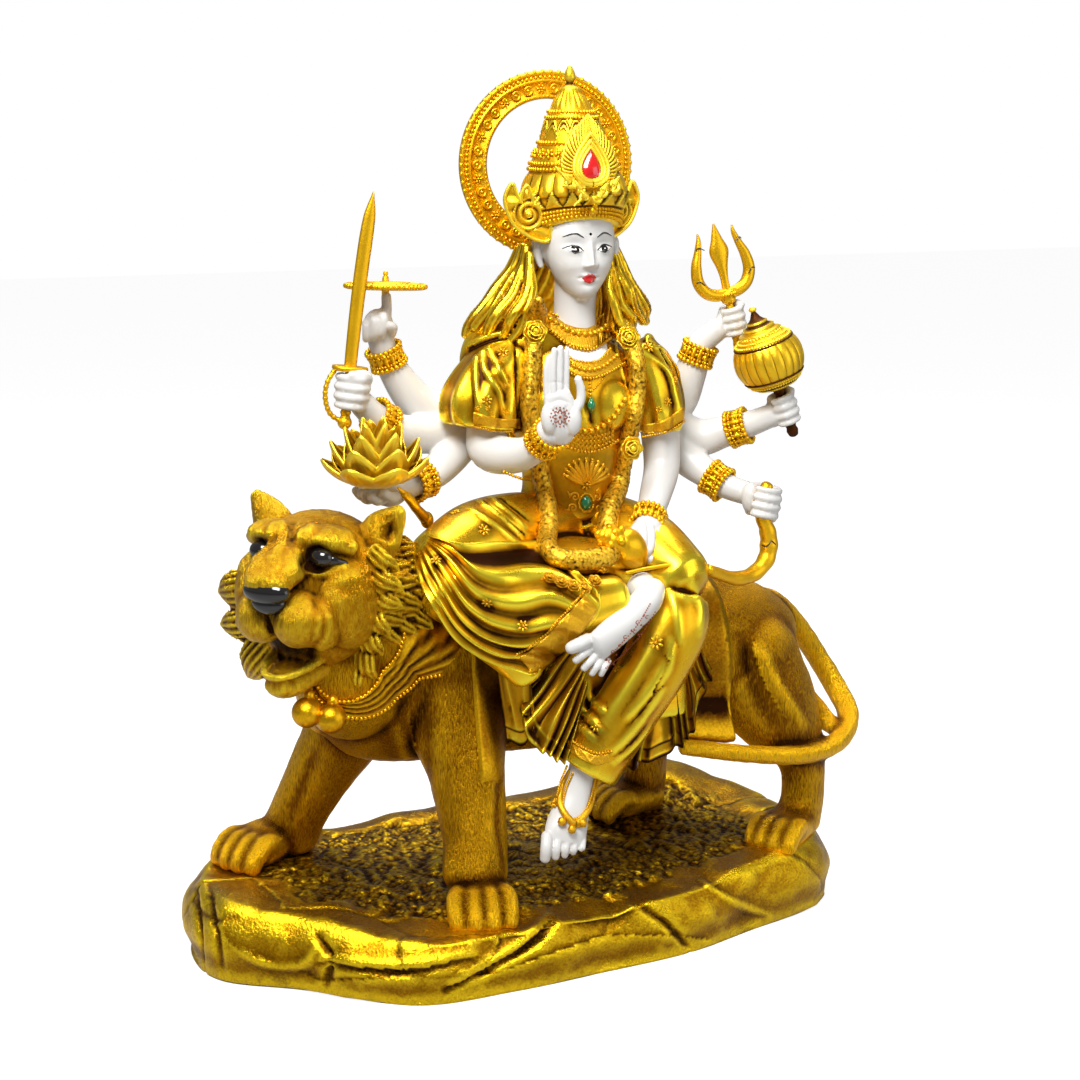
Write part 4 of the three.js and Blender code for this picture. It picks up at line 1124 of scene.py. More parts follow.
def make_saddle_cloth():
    """The cloth lies on the back and both flanks, with a raised carved border all round."""
    front, back, hem = -42.0, 105.0, 99.0
    columns, rows = 150, 150
    line = smooth_line(TRUNK, 400)
    lanes = []
    for x in np.linspace(front, back, columns):
        i = int(np.argmin(abs(line[:, 0] - x)))
        centre = np.array([x, line[i, 1], line[i, 2]])
        low = math.asin(max(-0.98, (hem - centre[2]) / (line[i, 4] + 2)))
        lane = []
        for a in np.linspace(low, math.pi - low, rows):
            out = np.array([0, -math.cos(a), math.sin(a)])
            hit = LION_SKIN.ray_cast(Vector(centre + out * 95), Vector(-out))
            lane.append(centre + out * (np.linalg.norm(np.array(hit[0]) - centre) if hit[0] else 40))
        lanes.append(lane)
    grid = np.array(lanes)
    for _ in range(10):
        grid[1:-1] = (grid[:-2] + grid[1:-1] + grid[2:]) / 3
        grid[:, 1:-1] = (grid[:, :-2] + grid[:, 1:-1] + grid[:, 2:]) / 3
    tangent = np.gradient(grid, axis=0)
    up = np.gradient(grid, axis=1)
    normal = unit(np.cross(up, tangent))
    u = np.linspace(front, back, columns)[:, None] * np.ones(rows)
    step = np.linalg.norm(up, axis=2)
    v = np.minimum(np.cumsum(step, axis=1), np.cumsum(step[:, ::-1], axis=1)[:, ::-1])
    inset = np.minimum(np.minimum(u - front, back - u), v)
    flat = grid.reshape(-1, 3)
    vine = np.abs(noise(flat * [1, 1, 0.6], 5.5, 9)).reshape(columns, rows)
    wide, rim = 11.5, 1.4
    border = 1 / (1 + np.exp((inset - wide) * 2))
    height = 2.2 + 0.6 * border + 0.9 * np.exp(-((inset - wide) ** 2)) + 0.7 * np.exp(-((inset - rim) ** 2))
    height = height + border * 0.6 * np.exp(-((vine / 0.12) ** 2)) * (inset > 2.5)
    height = height + (1 - border) * 0.15 * noise(flat, 9, 3).reshape(columns, rows)
    outer = (grid + normal * height[..., None]).reshape(-1, 3)
    inner = (grid - normal * 1.0).reshape(-1, 3)
    ob = build("saddle_cloth", thick_sheet(outer, inner, columns, rows))
    close_up(ob, 0.0001)
    find_hollows(ob, 8, 0.3)
    # The whole cloth is darker all over.
    tone(ob, "patina_and_painted_shade", np.clip(tone_of(ob, "patina_and_painted_shade") + 0.3, 0, 1))
    settle(ob, "lion_and_plinth", SADDLE_GOLD)


make_saddle_cloth()


def skin_of(*pieces):
    """One skin of several pieces, for rays."""
    verts, faces = joined([(points_of(ob), [tuple(p.vertices) for p in ob.data.polygons]) for ob in pieces])
    return BVHTree.FromPolygons([Vector(v) for v in verts], faces)


def make_collar():
    """Two strings of beads round the lion's neck, with a carved band between them and bells below."""
    neck = joined([
        limb(TRUNK, wide=(0, 1, 0), sides=48, rings=60),
        ball([-100, -28, 150], [30, 25, 34], sides=28, rows=18),
        limb(NECK_STATIONS, wide=ACROSS, sides=40),
    ])
    surface = BVHTree.FromPolygons([Vector(v) for v in neck[0]], neck[1])
    parts = []
    loops = []
    count = 260
    # Two pixels that each string passes, and the point of the throat that it hangs round.
    strings = [([(401, 622), (352, 699)], [-128.0, -46.0, 144.0]),
               ([(428, 589), (368, 715)], [-126.0, -48.0, 138.0])]
    for pixels, throat in strings:
        near = onto(surface, pixels)
        throat = np.array(throat)
        way = unit(np.cross(near[0] - throat, near[1] - throat))
        way = way * (1 if way[0] < 0 else -1)
        middle = near.mean(0) + [0, 32, 6]
        middle = middle - way * np.dot(middle - throat, way)
        loop = girdle(surface, middle, way, count=count, lift=1.4)
        parts += beads(loop, 1.15, 1.9, closed=True)
        loops.append(loop)
    across = 14
    outer, inner = [], []
    for i in range(count):
        for k in range(across):
            v = k / (across - 1)
            p = loops[0][i] * (1 - v) + loops[1][i] * v
            away = unit(p - np.array([-92.0, -12.0, 165.0]))
            wave = 0.4 * math.cos(v * 30 + 2.2 * math.sin(i * 0.09)) + 1.0 * math.sin(math.pi * v)
            outer.append(p + away * (wave + 0.2))
            inner.append(p - away * 3.0)
    parts.append(thick_sheet(np.array(outer), np.array(inner), count, across))
    for at in ([-129, -50, 139], [-118, -54, 136]):
        parts.append(ball(at, (7.6, 7.6, 7.6), sides=32, rows=20))
        parts.append(ball(np.array(at) + [2, 3, 7], (3, 3, 4)))
    ob = build("lion_collar_and_bells", joined(parts))
    close_up(ob, 0.0001)
    find_hollows(ob, 6, 0.7)
    tone(ob, "patina_and_painted_shade", np.clip(tone_of(ob, "patina_and_painted_shade") + 0.15, 0, 1))
    settle(ob, "lion_and_plinth", SADDLE_GOLD)


make_collar()
settle(LION, "lion_and_plinth", SHADED_FUR_GOLD)


# The goddess's clothes.

TORSO = [
    [28, 2, 192, 34, 27], [28, 1, 210, 34, 26], [27, -2, 234, 26, 19], [27, -3, 256, 29, 21],
    [27, -4, 278, 34, 23], [28, -1, 298, 36, 19], [29, 2, 312, 18, 13],
]
SHAWL = [[29, 4, 320, 17, 12], [27, 5, 313, 38, 18], [25, 6, 304, 54, 21], [25, 6, 297, 55, 21]]
RIGHT_SLEEVE = [[-4, -1, 304, 14, 14], [-16, -4, 293, 18, 17], [-23, -6, 280, 21, 19], [-25, -7, 269, 19, 18]]
LEFT_SLEEVE = [[60, -1, 303, 14, 14], [69, -4, 290, 16, 16], [73, -6, 274, 16, 17], [73, -7, 262, 14, 15]]
RIGHT_THIGH = [[16, -6, 206, 24, 22], [-10, -18, 210, 25, 23], [-36, -34, 210, 25, 23],
               [-58, -46, 207, 19, 19]]
RIGHT_SHIN = [[-56, -52, 198, 19, 18], [-30, -60, 187, 21, 18], [0, -66, 184, 18, 16], [26, -69, 188, 12, 11]]
RIGHT_DRAPE = [[-46, -54, 188, 18, 17], [-30, -61, 171, 17, 11], [-19, -65, 151, 9, 6]]
LEFT_THIGH = [[44, -6, 205, 25, 22], [56, -34, 203, 22, 20], [66, -58, 192, 18, 17]]
LEFT_SHIN = [[65, -61, 184, 15, 15], [60, -64, 170, 18.5, 17], [49, -66, 150, 18, 16],
             [31, -66, 124, 17, 14], [14, -65.5, 97, 15.5, 12.5]]
GARLAND = [
    (539, 300), (536, 319), (532, 346), (532, 380), (533, 416), (543, 467), (545, 500), (545, 532),
    (547, 550), (565, 562), (584, 564), (603, 561), (613, 551), (609, 535), (611, 520), (613, 500),
    (618, 476), (620, 452), (625, 428), (632, 404), (638, 380), (636, 355), (625, 322), (612, 302),
]


def band_on(surface, upper, lower, thick=1.0, count=60, rows=8, relief=None, lift=0.0):
    """A raised band that follows a surface between two lines drawn on the photograph."""
    a = smooth_line(upper, count)
    b = smooth_line(lower, count)
    outer, inner = [], []
    for i in range(count):
        for k in range(rows):
            pixel = a[i] + (b[i] - a[i]) * k / (rows - 1)
            d = sight(pixel)
            hit = surface.ray_cast(Vector(EYE), Vector(d))
            if hit[0] is None:
                at, out = np.array(outer[-1] if outer else at_depth(pixel, SPARE_Y)), -d
            else:
                at, out = np.array(hit[0]), np.array(hit[1])
            extra = relief(i / (count - 1), k / (rows - 1)) if relief else 0
            outer.append(at + out * (thick + lift + extra))
            inner.append(at - out * 0.4)
    return thick_sheet(np.array(outer), np.array(inner), count, rows)


def upper_folds(t, a):
    return 1 + (0.015 + 0.05 * t) * np.cos(8 * a + 1.6 * math.sin(3 * t)) + 0.02 * t * np.cos(17 * a)


def make_bodice():
    shapes = [
        limb(TORSO, sides=64, rings=70),
        ball([13, -17, 278], [14.5, 11, 15], sides=28, rows=18),
        ball([41, -17, 278], [14.5, 11, 15], sides=28, rows=18),
        limb(SHAWL, sides=72, rings=30, blunt=0.1),
        limb(RIGHT_SLEEVE, sides=80, rings=40, blunt=0.1, wave=upper_folds),
        limb(LEFT_SLEEVE, sides=80, rings=40, blunt=0.1, wave=upper_folds),
    ]
    ob = sculpted("bodice_and_shawl", shapes, 1.0, 4)
    surface = surface_of(ob)
    folds = [
        ([(481, 352), (486, 372), (499, 392), (503, 412)], 1.5, 1.2),
        ([(488, 348), (498, 366), (508, 384)], 1.4, 1.1),
        ([(475, 356), (476, 380), (478, 408)], 1.5, 1.2),
        ([(515, 342), (517, 380), (518, 420)], 1.4, -1.4),
        ([(470, 345), (490, 336), (521, 331)], 2.0, 1.6),
        ([(470, 349), (490, 340), (521, 335)], 1.3, -1.6),
        ([(645, 352), (668, 372), (676, 400)], 1.5, 1.1),
        ([(650, 344), (672, 356), (681, 386)], 1.5, 1.1),
        ([(643, 336), (660, 340), (674, 362)], 1.8, 1.6),
        ([(643, 341), (658, 346), (670, 366)], 1.3, -1.6),
        ([(613, 334), (619, 360), (627, 390)], 1.0, 1.0),
        ([(589, 402), (591, 415), (592, 426)], 2.6, -1.2),
        ([(555, 513), (580, 522), (606, 515)], 1.3, -1.4),
        ([(553, 519), (580, 528), (608, 520)], 1.5, 1.3),
        ([(552, 526), (580, 536), (610, 527)], 1.3, -1.2),
        ([(552, 532), (580, 543), (612, 534)], 1.5, 1.1),
        ([(480, 316), (500, 310), (522, 308)], 1.2, -0.8),
        ([(640, 314), (654, 322), (664, 336)], 1.2, -0.8),
    ]
    carve(ob, strokes_on(surface, folds))
    find_hollows(ob, 12, 0.28)
    # Painted shade between the beads of the net belt and of the collars, with dark patina.
    belt = [(x, y) for y in range(458, 516, 6) for x in range(556, 614, 6)]
    shade_near(ob, onto(surface, belt), 3.4, 0.42)
    neck = [(x, y) for y in range(318, 376, 6) for x in range(554, 616, 6)]
    shade_near(ob, onto(surface, neck), 3.4, 0.4)
    return ob, surface


BODICE, BODICE_SKIN = make_bodice()


def make_lower_robe():
    shapes = [
        limb(RIGHT_THIGH, wide=(0, 0, 1), sides=48, rings=50),
        limb(RIGHT_SHIN, wide=(0, 0, 1), sides=48, rings=50),
        limb(RIGHT_DRAPE, sides=48, rings=40),
        limb(LEFT_THIGH, wide=(0, 0, 1), sides=48, rings=40),
        ball([8, -38, 196], [44, 30, 18], sides=32, rows=20),
        limb(LEFT_SHIN, sides=56, rings=60, blunt=0.1),
        limb([[40, -40, 170, 36, 9], [36, -46, 140, 40, 8], [34, -50, 122, 40, 7]], sides=48),
    ]
    ob = sculpted("robe", shapes, 1.1, 6)
    surface = surface_of(ob)
    shin = [
        [(573, 688), (575, 719), (593, 738)],
        [(580, 682), (582, 706), (600, 730)],
        [(588, 683), (591, 698), (606, 713)],
        [(566, 700), (567, 730), (574, 750)],
    ]
    folds = [(line, 2.2, 1.5) for line in shin]
    folds += [
        ([(668, 660), (650, 690), (630, 716)], 3.0, 1.4),
        ([(662, 690), (640, 722), (616, 750)], 2.6, 1.5),
        ([(655, 640), (632, 680), (606, 720)], 3.4, 1.0),
        ([(672, 640), (668, 668), (655, 690)], 2.6, 1.2),
        ([(690, 580), (700, 606), (700, 632)], 3.0, 1.4),
        ([(648, 730), (632, 748), (616, 762)], 2.4, 1.3),
        ([(610, 568), (640, 570), (668, 566)], 2.0, -1.2),
        ([(665, 585), (676, 610), (680, 640)], 2.4, 1.0),
        ([(478, 500), (500, 515), (522, 536)], 1.6, 1.4),
        ([(470, 508), (496, 526), (520, 545)], 1.6, 1.2),
        ([(490, 497), (508, 512), (526, 527)], 1.5, 1.2),
        ([(484, 501), (504, 518), (524, 534)], 1.2, -1.2),
        ([(496, 494), (514, 508), (528, 520)], 1.2, -1.0),
    ]
    carve(ob, strokes_on(surface, folds))
    find_hollows(ob, 14, 0.27)
    return ob, surface


ROBE, ROBE_SKIN = make_lower_robe()

# The ridges of the hanging folds on the photograph, from the lap down to the lower edge.
SWAGS = [
    [(428, 536), (440, 540), (462, 545), (500, 542), (540, 547), (574, 574), (600, 594)],
    [(428, 538), (452, 549), (475, 571), (501, 579), (528, 574), (560, 578), (584, 594), (601, 606)],
    [(426, 540), (447, 557), (469, 586), (493, 600), (518, 603), (546, 596), (573, 606), (596, 619)],
    [(424, 544), (441, 565), (465, 602), (493, 621), (528, 628), (550, 624), (566, 622), (586, 631)],
    [(421, 548), (436, 573), (459, 613), (485, 636), (516, 643), (541, 640), (558, 643), (572, 648)],
    [(418, 550), (430, 580), (455, 620), (475, 641), (501, 655), (522, 656), (538, 660), (552, 663)],
    [(412, 550), (426, 586), (450, 626), (468, 645), (492, 660), (512, 668), (524, 673), (532, 677)],
]


def make_swags():
    """The robe hangs from the knee in round folds, down to a hem that runs under the crossed foot."""
    columns, between = 150, 16
    lines = np.array([smooth_line(row, columns) for row in SWAGS])
    spots, ridge = [], []
    for row in range((len(lines) - 1) * between + 1):
        k, f = divmod(row, between)
        f = f / between
        k2 = min(k + 1, len(lines) - 1)
        spots.append(lines[k] * (1 - f) + lines[k2] * f)
        ridge.append(0.5 + 0.5 * math.cos(2 * math.pi * f))
    spots = np.array(spots)
    rows = len(spots)
    grid = onto(ROBE_SKIN, spots.reshape(-1, 2), -62).reshape(rows, columns, 3)
    for _ in range(26):
        grid[1:-1] = (grid[:-2] + grid[1:-1] + grid[2:]) / 3
        grid[:, 1:-1] = (grid[:, :-2] + grid[:, 1:-1] + grid[:, 2:]) / 3
    normal = unit(np.cross(np.gradient(grid, axis=0), np.gradient(grid, axis=1)))
    normal *= np.where(normal @ -VIEW > 0, 1.0, -1.0)[..., None]
    u = np.linspace(0, 1, columns)
    fade = np.clip(u / 0.16, 0, 1) ** 1.2 * np.clip((0.985 - u) / 0.14, 0, 1) ** 0.6
    height = 0.6 + 2.7 * np.array(ridge)[:, None] ** 1.3 * fade
    hem = np.exp(-(((u - 0.93) / 0.055) ** 4))
    height = height + 0.7 * hem + 0.25 * noise(grid.reshape(-1, 3), 9, 5).reshape(rows, columns)
    outer = (grid + normal * height[..., None]).reshape(-1, 3)
    inner = (grid - normal * 2.2).reshape(-1, 3)
    ob = build("robe_swags", thick_sheet(outer, inner, rows, columns))
    close_up(ob, 0.0001)
    find_hollows(ob, 16, 0.3)
    return ob, surface_of(ob)


SWAG, SWAG_SKIN = make_swags()
CLOTH_SKIN = skin_of(BODICE, ROBE, SWAG)


def pleats(top, hem, count, deep, lip=1.2):
    """A fan of soft pleats from a gathered top to a hem, which are lines of points."""
    columns, rows = count * 22, 44
    a = smooth_line(top, columns)
    b = smooth_line(hem, columns)
    front = np.array([-0.2, -1.0, 0.05])
    outer = []
    for i in range(columns):
        part = i / columns * count
        for k in range(rows):
            v = k / (rows - 1)
            phase = part + 0.3 * math.sin(part * 1.7) + 0.16 * math.sin(v * 5 + part * 2.1)
            fold = (0.5 - 0.5 * math.cos(2 * math.pi * phase)) ** 0.8
            fold *= 0.75 + 0.25 * math.sin(part * 2.9 + 1)
            p = a[i] + (b[i] - a[i]) * v
            edge = 0.7 * math.exp(-(((v - 0.985) / 0.02) ** 2))
            edge = edge + 0.35 * math.exp(-(((v - 0.84) / 0.015) ** 2))
            rise = deep * (0.25 + 0.75 * v) * fold + edge
            outer.append(p + front * rise + unit(b[i] - a[i]) * fold * lip * v)
    outer = np.array(outer)
    inner = outer - front * 1.6
    return thick_sheet(outer, inner, columns, rows)


def make_pleats():
    """Three fans of pleats show under the swags: beside the shin, behind it and a small curled one."""
    # Each fan's top and its hem, as pixels with their depths, then how many pleats it has and how deep.
    fans = [
        ([(576, 640, -56), (584, 660, -57), (588, 690, -60)],
         [(520, 700, -55), (528, 738, -59), (546, 752, -62), (564, 762, -64)], 5, 7.0),
        ([(690, 628, -44), (676, 652, -47), (650, 700, -52)],
         [(711, 668, -44), (700, 700, -46), (690, 732, -48), (672, 748, -52), (640, 762, -58),
          (606, 772, -60)], 8, 7.5),
        ([(530, 668, -60), (512, 660, -58), (494, 650, -56)],
         [(536, 722, -58), (522, 745, -55), (506, 738, -53)], 3, 3.0),
    ]
    shapes = []
    for top, hem, count, deep in fans:
        shapes.append(pleats([seen(*p) for p in top], [seen(*p) for p in hem], count, deep))
    ob = build("robe_pleats", joined(shapes))
    find_hollows(ob, 10, 0.25)
    # Painted shade: the pleats under the swags are darkened all over.
    tone(ob, "patina_and_painted_shade", np.clip(tone_of(ob, "patina_and_painted_shade") + 0.3, 0, 1))
    settle(ob, "goddess", ROBE_GOLD)


make_pleats()


# Where the photograph shows the ornaments of the clothes.
SLEEVE_FLOWERS = [(503, 352), (649, 347), (487, 400)]
KNEE_FLOWER, SHIN_FLOWER, HIP_FLOWER = (484, 530), (656, 643), (455, 512)
SWAG_FLOWERS = [(487, 603), (523, 626), (436, 560), (549, 648)]
CHAIN_MIDDLE, CHAIN_HEIGHT = 590, 430
CHAIN_THREADS, CHAIN_ROWS = range(572, 616, 4), range(570, 618, 6)
BELT_FAN, BELT_FAN_ROOT, BELT_GEM = (586, 484), np.array([586, 486]), (586, 503)
BELT_SCROLLS = [(575, 497, 0.4), (597, 497, -0.4), (573, 508, 1.2), (599, 508, -1.2)]
LAP_ROSES = [(549, 581), (560, 585), (572, 588), (583, 590), (594, 584), (601, 575)]
NECK_GEM = (590, 405)
NECK_SKIN_TOP = [(566, 345), (580, 349), (592, 349), (606, 343)]
NECK_SKIN_FOOT = [(564, 352), (573, 361), (597, 362), (608, 352)]


def make_borders():
    """Hems, belts, collars and sewn flowers, all raised on the cloth."""
    grain = lambda u, v: 0.35 * math.sin(u * 300) * math.sin(v * 16)
    vine = lambda u, v: 0.4 * math.exp(-(((v - 0.5 - 0.28 * math.sin(u * 26)) / 0.09) ** 2))
    # The upper and the lower line of each band, its thickness, its columns and rows, and its relief.
    bands = [
        (BODICE_SKIN, [(549, 318), (566, 326), (579, 329), (592, 327), (605, 318)],
         [(550, 331), (568, 345), (580, 349), (592, 349), (608, 338)], 1.6, 70, 10, grain),
        (BODICE_SKIN, [(560, 350), (572, 360), (585, 363), (598, 361), (609, 350)],
         [(560, 365), (573, 374), (588, 378), (604, 374), (622, 364)], 1.4, 70, 8, grain),
        (BODICE_SKIN, [(474, 412), (496, 418), (520, 419)], [(473, 423), (496, 427), (521, 428)], 0.8, 60, 8,
         vine),
        (BODICE_SKIN, [(643, 425), (664, 420), (681, 408)], [(643, 434), (666, 430), (683, 419)], 0.8, 60, 8,
         vine),
        (ROBE_SKIN, [(568, 739), (580, 748), (596, 755), (610, 753)],
         [(567, 748), (579, 758), (596, 765), (608, 762)], 0.7, 80, 10, vine),
        (SWAG_SKIN, [(520, 657), (541, 641), (567, 614), (586, 594)],
         [(531, 673), (552, 660), (578, 636), (597, 610)], 0.7, 90, 14, vine),
    ]
    parts = [band_on(*band) for band in bands]
    # The line of each string of beads, the radius of a bead and how high it stands.
    strings = [
        (BODICE_SKIN, [(550, 315), (566, 321), (579, 323), (592, 321), (603, 315)], 0.9, 1.2),
        (BODICE_SKIN, [(549, 331), (568, 346), (580, 350), (592, 350), (609, 340)], 1.0, 1.2),
        (BODICE_SKIN, [(560, 350), (572, 360), (585, 363), (598, 361), (609, 350)], 0.9, 1.2),
        (BODICE_SKIN, [(560, 367), (573, 375), (588, 379), (604, 375), (623, 364)], 0.9, 1.2),
        (BODICE_SKIN, [(573, 426), (586, 431), (600, 427), (614, 417), (624, 400)], 1.7, 0.8),
        (BODICE_SKIN, [(568, 447), (587, 452), (602, 449), (617, 440)], 1.0, 0.6),
        (BODICE_SKIN, [(578, 379), (585, 388), (590, 392)], 0.6, 0.5),
        (BODICE_SKIN, [(606, 375), (597, 386), (590, 392)], 0.6, 0.5),
        (BODICE_SKIN, [(590, 380), (590, 398)], 0.8, 0.8),
        (BODICE_SKIN, [(504, 472), (520, 478), (537, 480)], 0.9, 0.6),
        (BODICE_SKIN, [(474, 426), (496, 430), (520, 431)], 0.7, 0.5),
        (BODICE_SKIN, [(643, 437), (666, 432), (684, 421)], 0.7, 0.5),
        (ROBE_SKIN, [(568, 737), (580, 746), (596, 753), (611, 751)], 0.8, 0.9),
        (SWAG_SKIN, [(517, 655), (541, 638), (566, 612), (584, 592)], 0.8, 0.5),
        (BODICE_SKIN, [(550, 322), (567, 332), (580, 336), (592, 335), (606, 326)], 1.7, 2.0),
        (BODICE_SKIN, [(560, 358), (573, 367), (587, 371), (601, 368), (615, 357)], 1.4, 1.7),
    ]
    for surface, pixels, radius, lift in strings:
        line = onto(surface, smooth_line(pixels, 60), lift=lift)
        parts += beads(line, radius, 1.85)
    for x in CHAIN_THREADS:
        top = CHAIN_HEIGHT - 0.012 * (x - CHAIN_MIDDLE) ** 2
        parts.append(painted_line(BODICE_SKIN, [(x, top), (x - 1, top + 11), (x - 1, top + 21)], 0.45, 0.3))
    for drop in (6, 11, 16):
        row = [(x, CHAIN_HEIGHT + drop - 0.012 * (x - CHAIN_MIDDLE) ** 2) for x in CHAIN_ROWS]
        parts += beads(onto(BODICE_SKIN, smooth_line(row, 50), lift=0.7), 0.8, 2.6)
    flower = rosette(7, 1.0, 0.3)
    sewn = [
        *[(BODICE_SKIN, pixel, size) for pixel, size in zip(SLEEVE_FLOWERS, (3.4, 3.4, 3.0))],
        (BODICE_SKIN, (478, 407), 2.2), (BODICE_SKIN, (668, 402), 2.6), (BODICE_SKIN, (676, 380), 2.2),
        (BODICE_SKIN, (488, 408), 1.8), (BODICE_SKIN, (659, 410), 2.0), (BODICE_SKIN, (506, 385), 1.6),
        (ROBE_SKIN, KNEE_FLOWER, 3.4), (SWAG_SKIN, SWAG_FLOWERS[0], 3.0), (SWAG_SKIN, SWAG_FLOWERS[1], 3.2),
        (SWAG_SKIN, SWAG_FLOWERS[2], 3.0), (ROBE_SKIN, SHIN_FLOWER, 4.2), (ROBE_SKIN, (596, 726), 3.4),
        (ROBE_SKIN, HIP_FLOWER, 2.8), (SWAG_SKIN, SWAG_FLOWERS[3], 3.0),
        (ROBE_SKIN, (640, 566), 3.0), (ROBE_SKIN, (617, 668), 2.4), (ROBE_SKIN, (487, 505), 2.0),
    ]
    for surface, pixel, size in sewn:
        parts.append(motif_on(surface, pixel, flower, size, sink=0.1))
    for turn in np.linspace(-1.45, 1.45, 11):
        reach = np.array([21 * math.sin(turn), -9 - 17 * math.cos(turn)])
        rib = [BELT_FAN_ROOT + reach * s for s in (0.2, 0.5, 0.8, 1.0)]
        parts.append(painted_line(BODICE_SKIN, rib, 1.5, 0.7))
        parts.append(motif_on(BODICE_SKIN, BELT_FAN_ROOT + reach * 1.04, BEAD, 1.3))
    parts.append(motif_on(BODICE_SKIN, BELT_FAN, rosette(8, 1.0, 0.5), 3.6))
    scroll = curl(2.6, 0.6)
    for x, y, spin in BELT_SCROLLS:
        parts.append(motif_on(BODICE_SKIN, (x, y), placed(scroll, (0, 0, 0), spin=spin), 1.0))
    turns = np.linspace(0, 2 * math.pi, 40)
    oval = [(BELT_GEM[0] + 7.2 * math.cos(a), BELT_GEM[1] + 9.2 * math.sin(a)) for a in turns]
    parts += beads(onto(BODICE_SKIN, oval, lift=0.4), 0.7, 1.6)
    for pixel in LAP_ROSES:
        parts.append(motif_on(ROBE_SKIN, pixel, rose(1.0), 4.6, spare_y=-60, sink=-2.0))
    ob = build("jewels_and_hems", joined(parts))
    settle(ob, "goddess", GOLD_GRAINY)

    gem = motif_on(BODICE_SKIN, BELT_GEM, ball((0, 0, 0.4), (2.7, 3.7, 2.0), sides=24, rows=14), 1.0)
    drop = spun([(0, 5), (2.1, 0.6), (2.1, -0.6), (0, -5)], 8)
    drop = placed(drop, onto(BODICE_SKIN, [NECK_GEM], lift=1.8)[0])
    settle(build("green_gems", joined([gem, drop])), "goddess", GREEN)

    patch = band_on(BODICE_SKIN, NECK_SKIN_TOP, NECK_SKIN_FOOT, 0.35, 40, 8)
    settle(build("skin_at_the_neck", patch), "goddess", WHITE)


make_borders()
# Painted shade and old dark patina round the sewn flowers.
shade_near(BODICE, onto(BODICE_SKIN, [*SLEEVE_FLOWERS, (668, 402), (590, 404)]), 5.0, 0.5)
shade_near(ROBE, onto(ROBE_SKIN, [KNEE_FLOWER, SHIN_FLOWER, (596, 731), HIP_FLOWER, (640, 566)]), 5.5, 0.6)
shade_near(SWAG, onto(SWAG_SKIN, SWAG_FLOWERS), 4.6, 0.6)
settle(SWAG, "goddess", ROBE_GOLD)
settle(BODICE, "goddess", ROBE_GOLD)
settle(ROBE, "goddess", ROBE_GOLD)


def make_garland():
    """A thick rope of small blossoms that hangs from the shoulders into the lap, with roses pinned to it."""
    strand = onto(CLOTH_SKIN, smooth_line(GARLAND, 260), -42, lift=3.0)
    for _ in range(40):
        strand[1:-1] = (strand[:-2] + strand[1:-1] + strand[2:]) / 3
    t = np.linspace(0, 1, len(strand))
    girth = 5.4 + 1.0 * np.exp(-(((t - 0.5) / 0.12) ** 2))
    girth *= 0.35 + 0.65 * np.clip(np.minimum(t, 1 - t) / 0.03, 0, 1)
    rows = np.column_stack([strand, girth, girth * 0.9])
    ob = build("garland", limb(rows, wide=(0, 1, 0), sides=56, rings=560))
    verts = points_of(ob)
    buds = cells(verts, 1.35, 4)
    raise_skin(ob, 0.9 * (0.62 - buds) + 0.3 * noise(verts, 3.2, 2))
    # Painted shade between the blossoms and a painted highlight on their tops.
    tone(ob, "patina_and_painted_shade", np.clip((buds - 0.55) * 3.4, 0, 1))
    tone(ob, "ridge", np.clip((0.5 - buds) * 2.5, 0, 1))
    settle(ob, "goddess", GOLD_GRAINY)
    # Each rose's pixel and depth, and the way it faces.
    pinned = [((535, 332, -39), (-0.2, -1, 0.25)), ((628, 338, -35), (-0.2, -1, 0.25)),
              ((631, 448, -40), (0.0, -1, 0.1))]
    ob = build("roses", joined([placed(rose(7.4), seen(*at), way=way) for at, way in pinned]))
    find_hollows(ob, 4, 0.4)
    settle(ob, "goddess", GOLD)


make_garland()


# Head, face, hair and crown.

# The middle of the face, aside.
FACE_X = 30


def from_front(surface, pairs, lift=0.0):
    """Points [aside, height] put on the face from straight in front of it."""
    made = []
    for x, z in pairs:
        hit = surface.ray_cast(Vector((FACE_X + x, -90, z)), Vector((0, 1, 0)))
        made.append(np.array(hit[0]) - np.array([0, lift, 0]) if hit[0] else np.array([FACE_X + x, -20, z]))
    return np.array(made)


def face_patch(surface, outline, lift):
    """A painted area of the face."""
    rings = 5
    outline = np.array(outline, float)
    middle = outline.mean(0)
    verts = list(from_front(surface, [middle], lift))
    n = len(outline)
    for ring in range(1, rings + 1):
        verts += list(from_front(surface, middle + (outline - middle) * ring / rings, lift))
    faces = [(0, 1 + s, 1 + (s + 1) % n) for s in range(n)]
    for ring in range(rings - 1):
        for s in range(n):
            a, b = 1 + ring * n + s, 1 + ring * n + (s + 1) % n
            faces.append((a, a + n, b + n, b))
    return np.array(verts), faces


def brush(surface, pairs, width, lift=0.02):
    line = from_front(surface, smooth_line(pairs, 30), lift)
    swell = [0.25 + 0.75 * math.sin(math.pi * (0.1 + 0.85 * i / 29)) for i in range(len(line))]
    rows = [[*p, width * s] for p, s in zip(line, swell)]
    return limb(rows, sides=8, rings=60)


def disc(x, z, radius, count):
    """A round outline on the face."""
    turns = np.linspace(0, 2 * math.pi, count, endpoint=False)
    return [(x + radius * math.cos(a), z + radius * math.sin(a)) for a in turns]


def almond(x, z, half, up, down, tilt=0.0, side=1):
    """The outline of an eye on the face."""
    made = []
    for i in range(36):
        a = i / 36 * 2 * math.pi
        c, s = math.cos(a), math.sin(a)
        rise = (up if s > 0 else down) * abs(s) ** 1.15 * (1 if s > 0 else -1)
        made.append((x + side * half * c, z + rise + tilt * c))
    return made


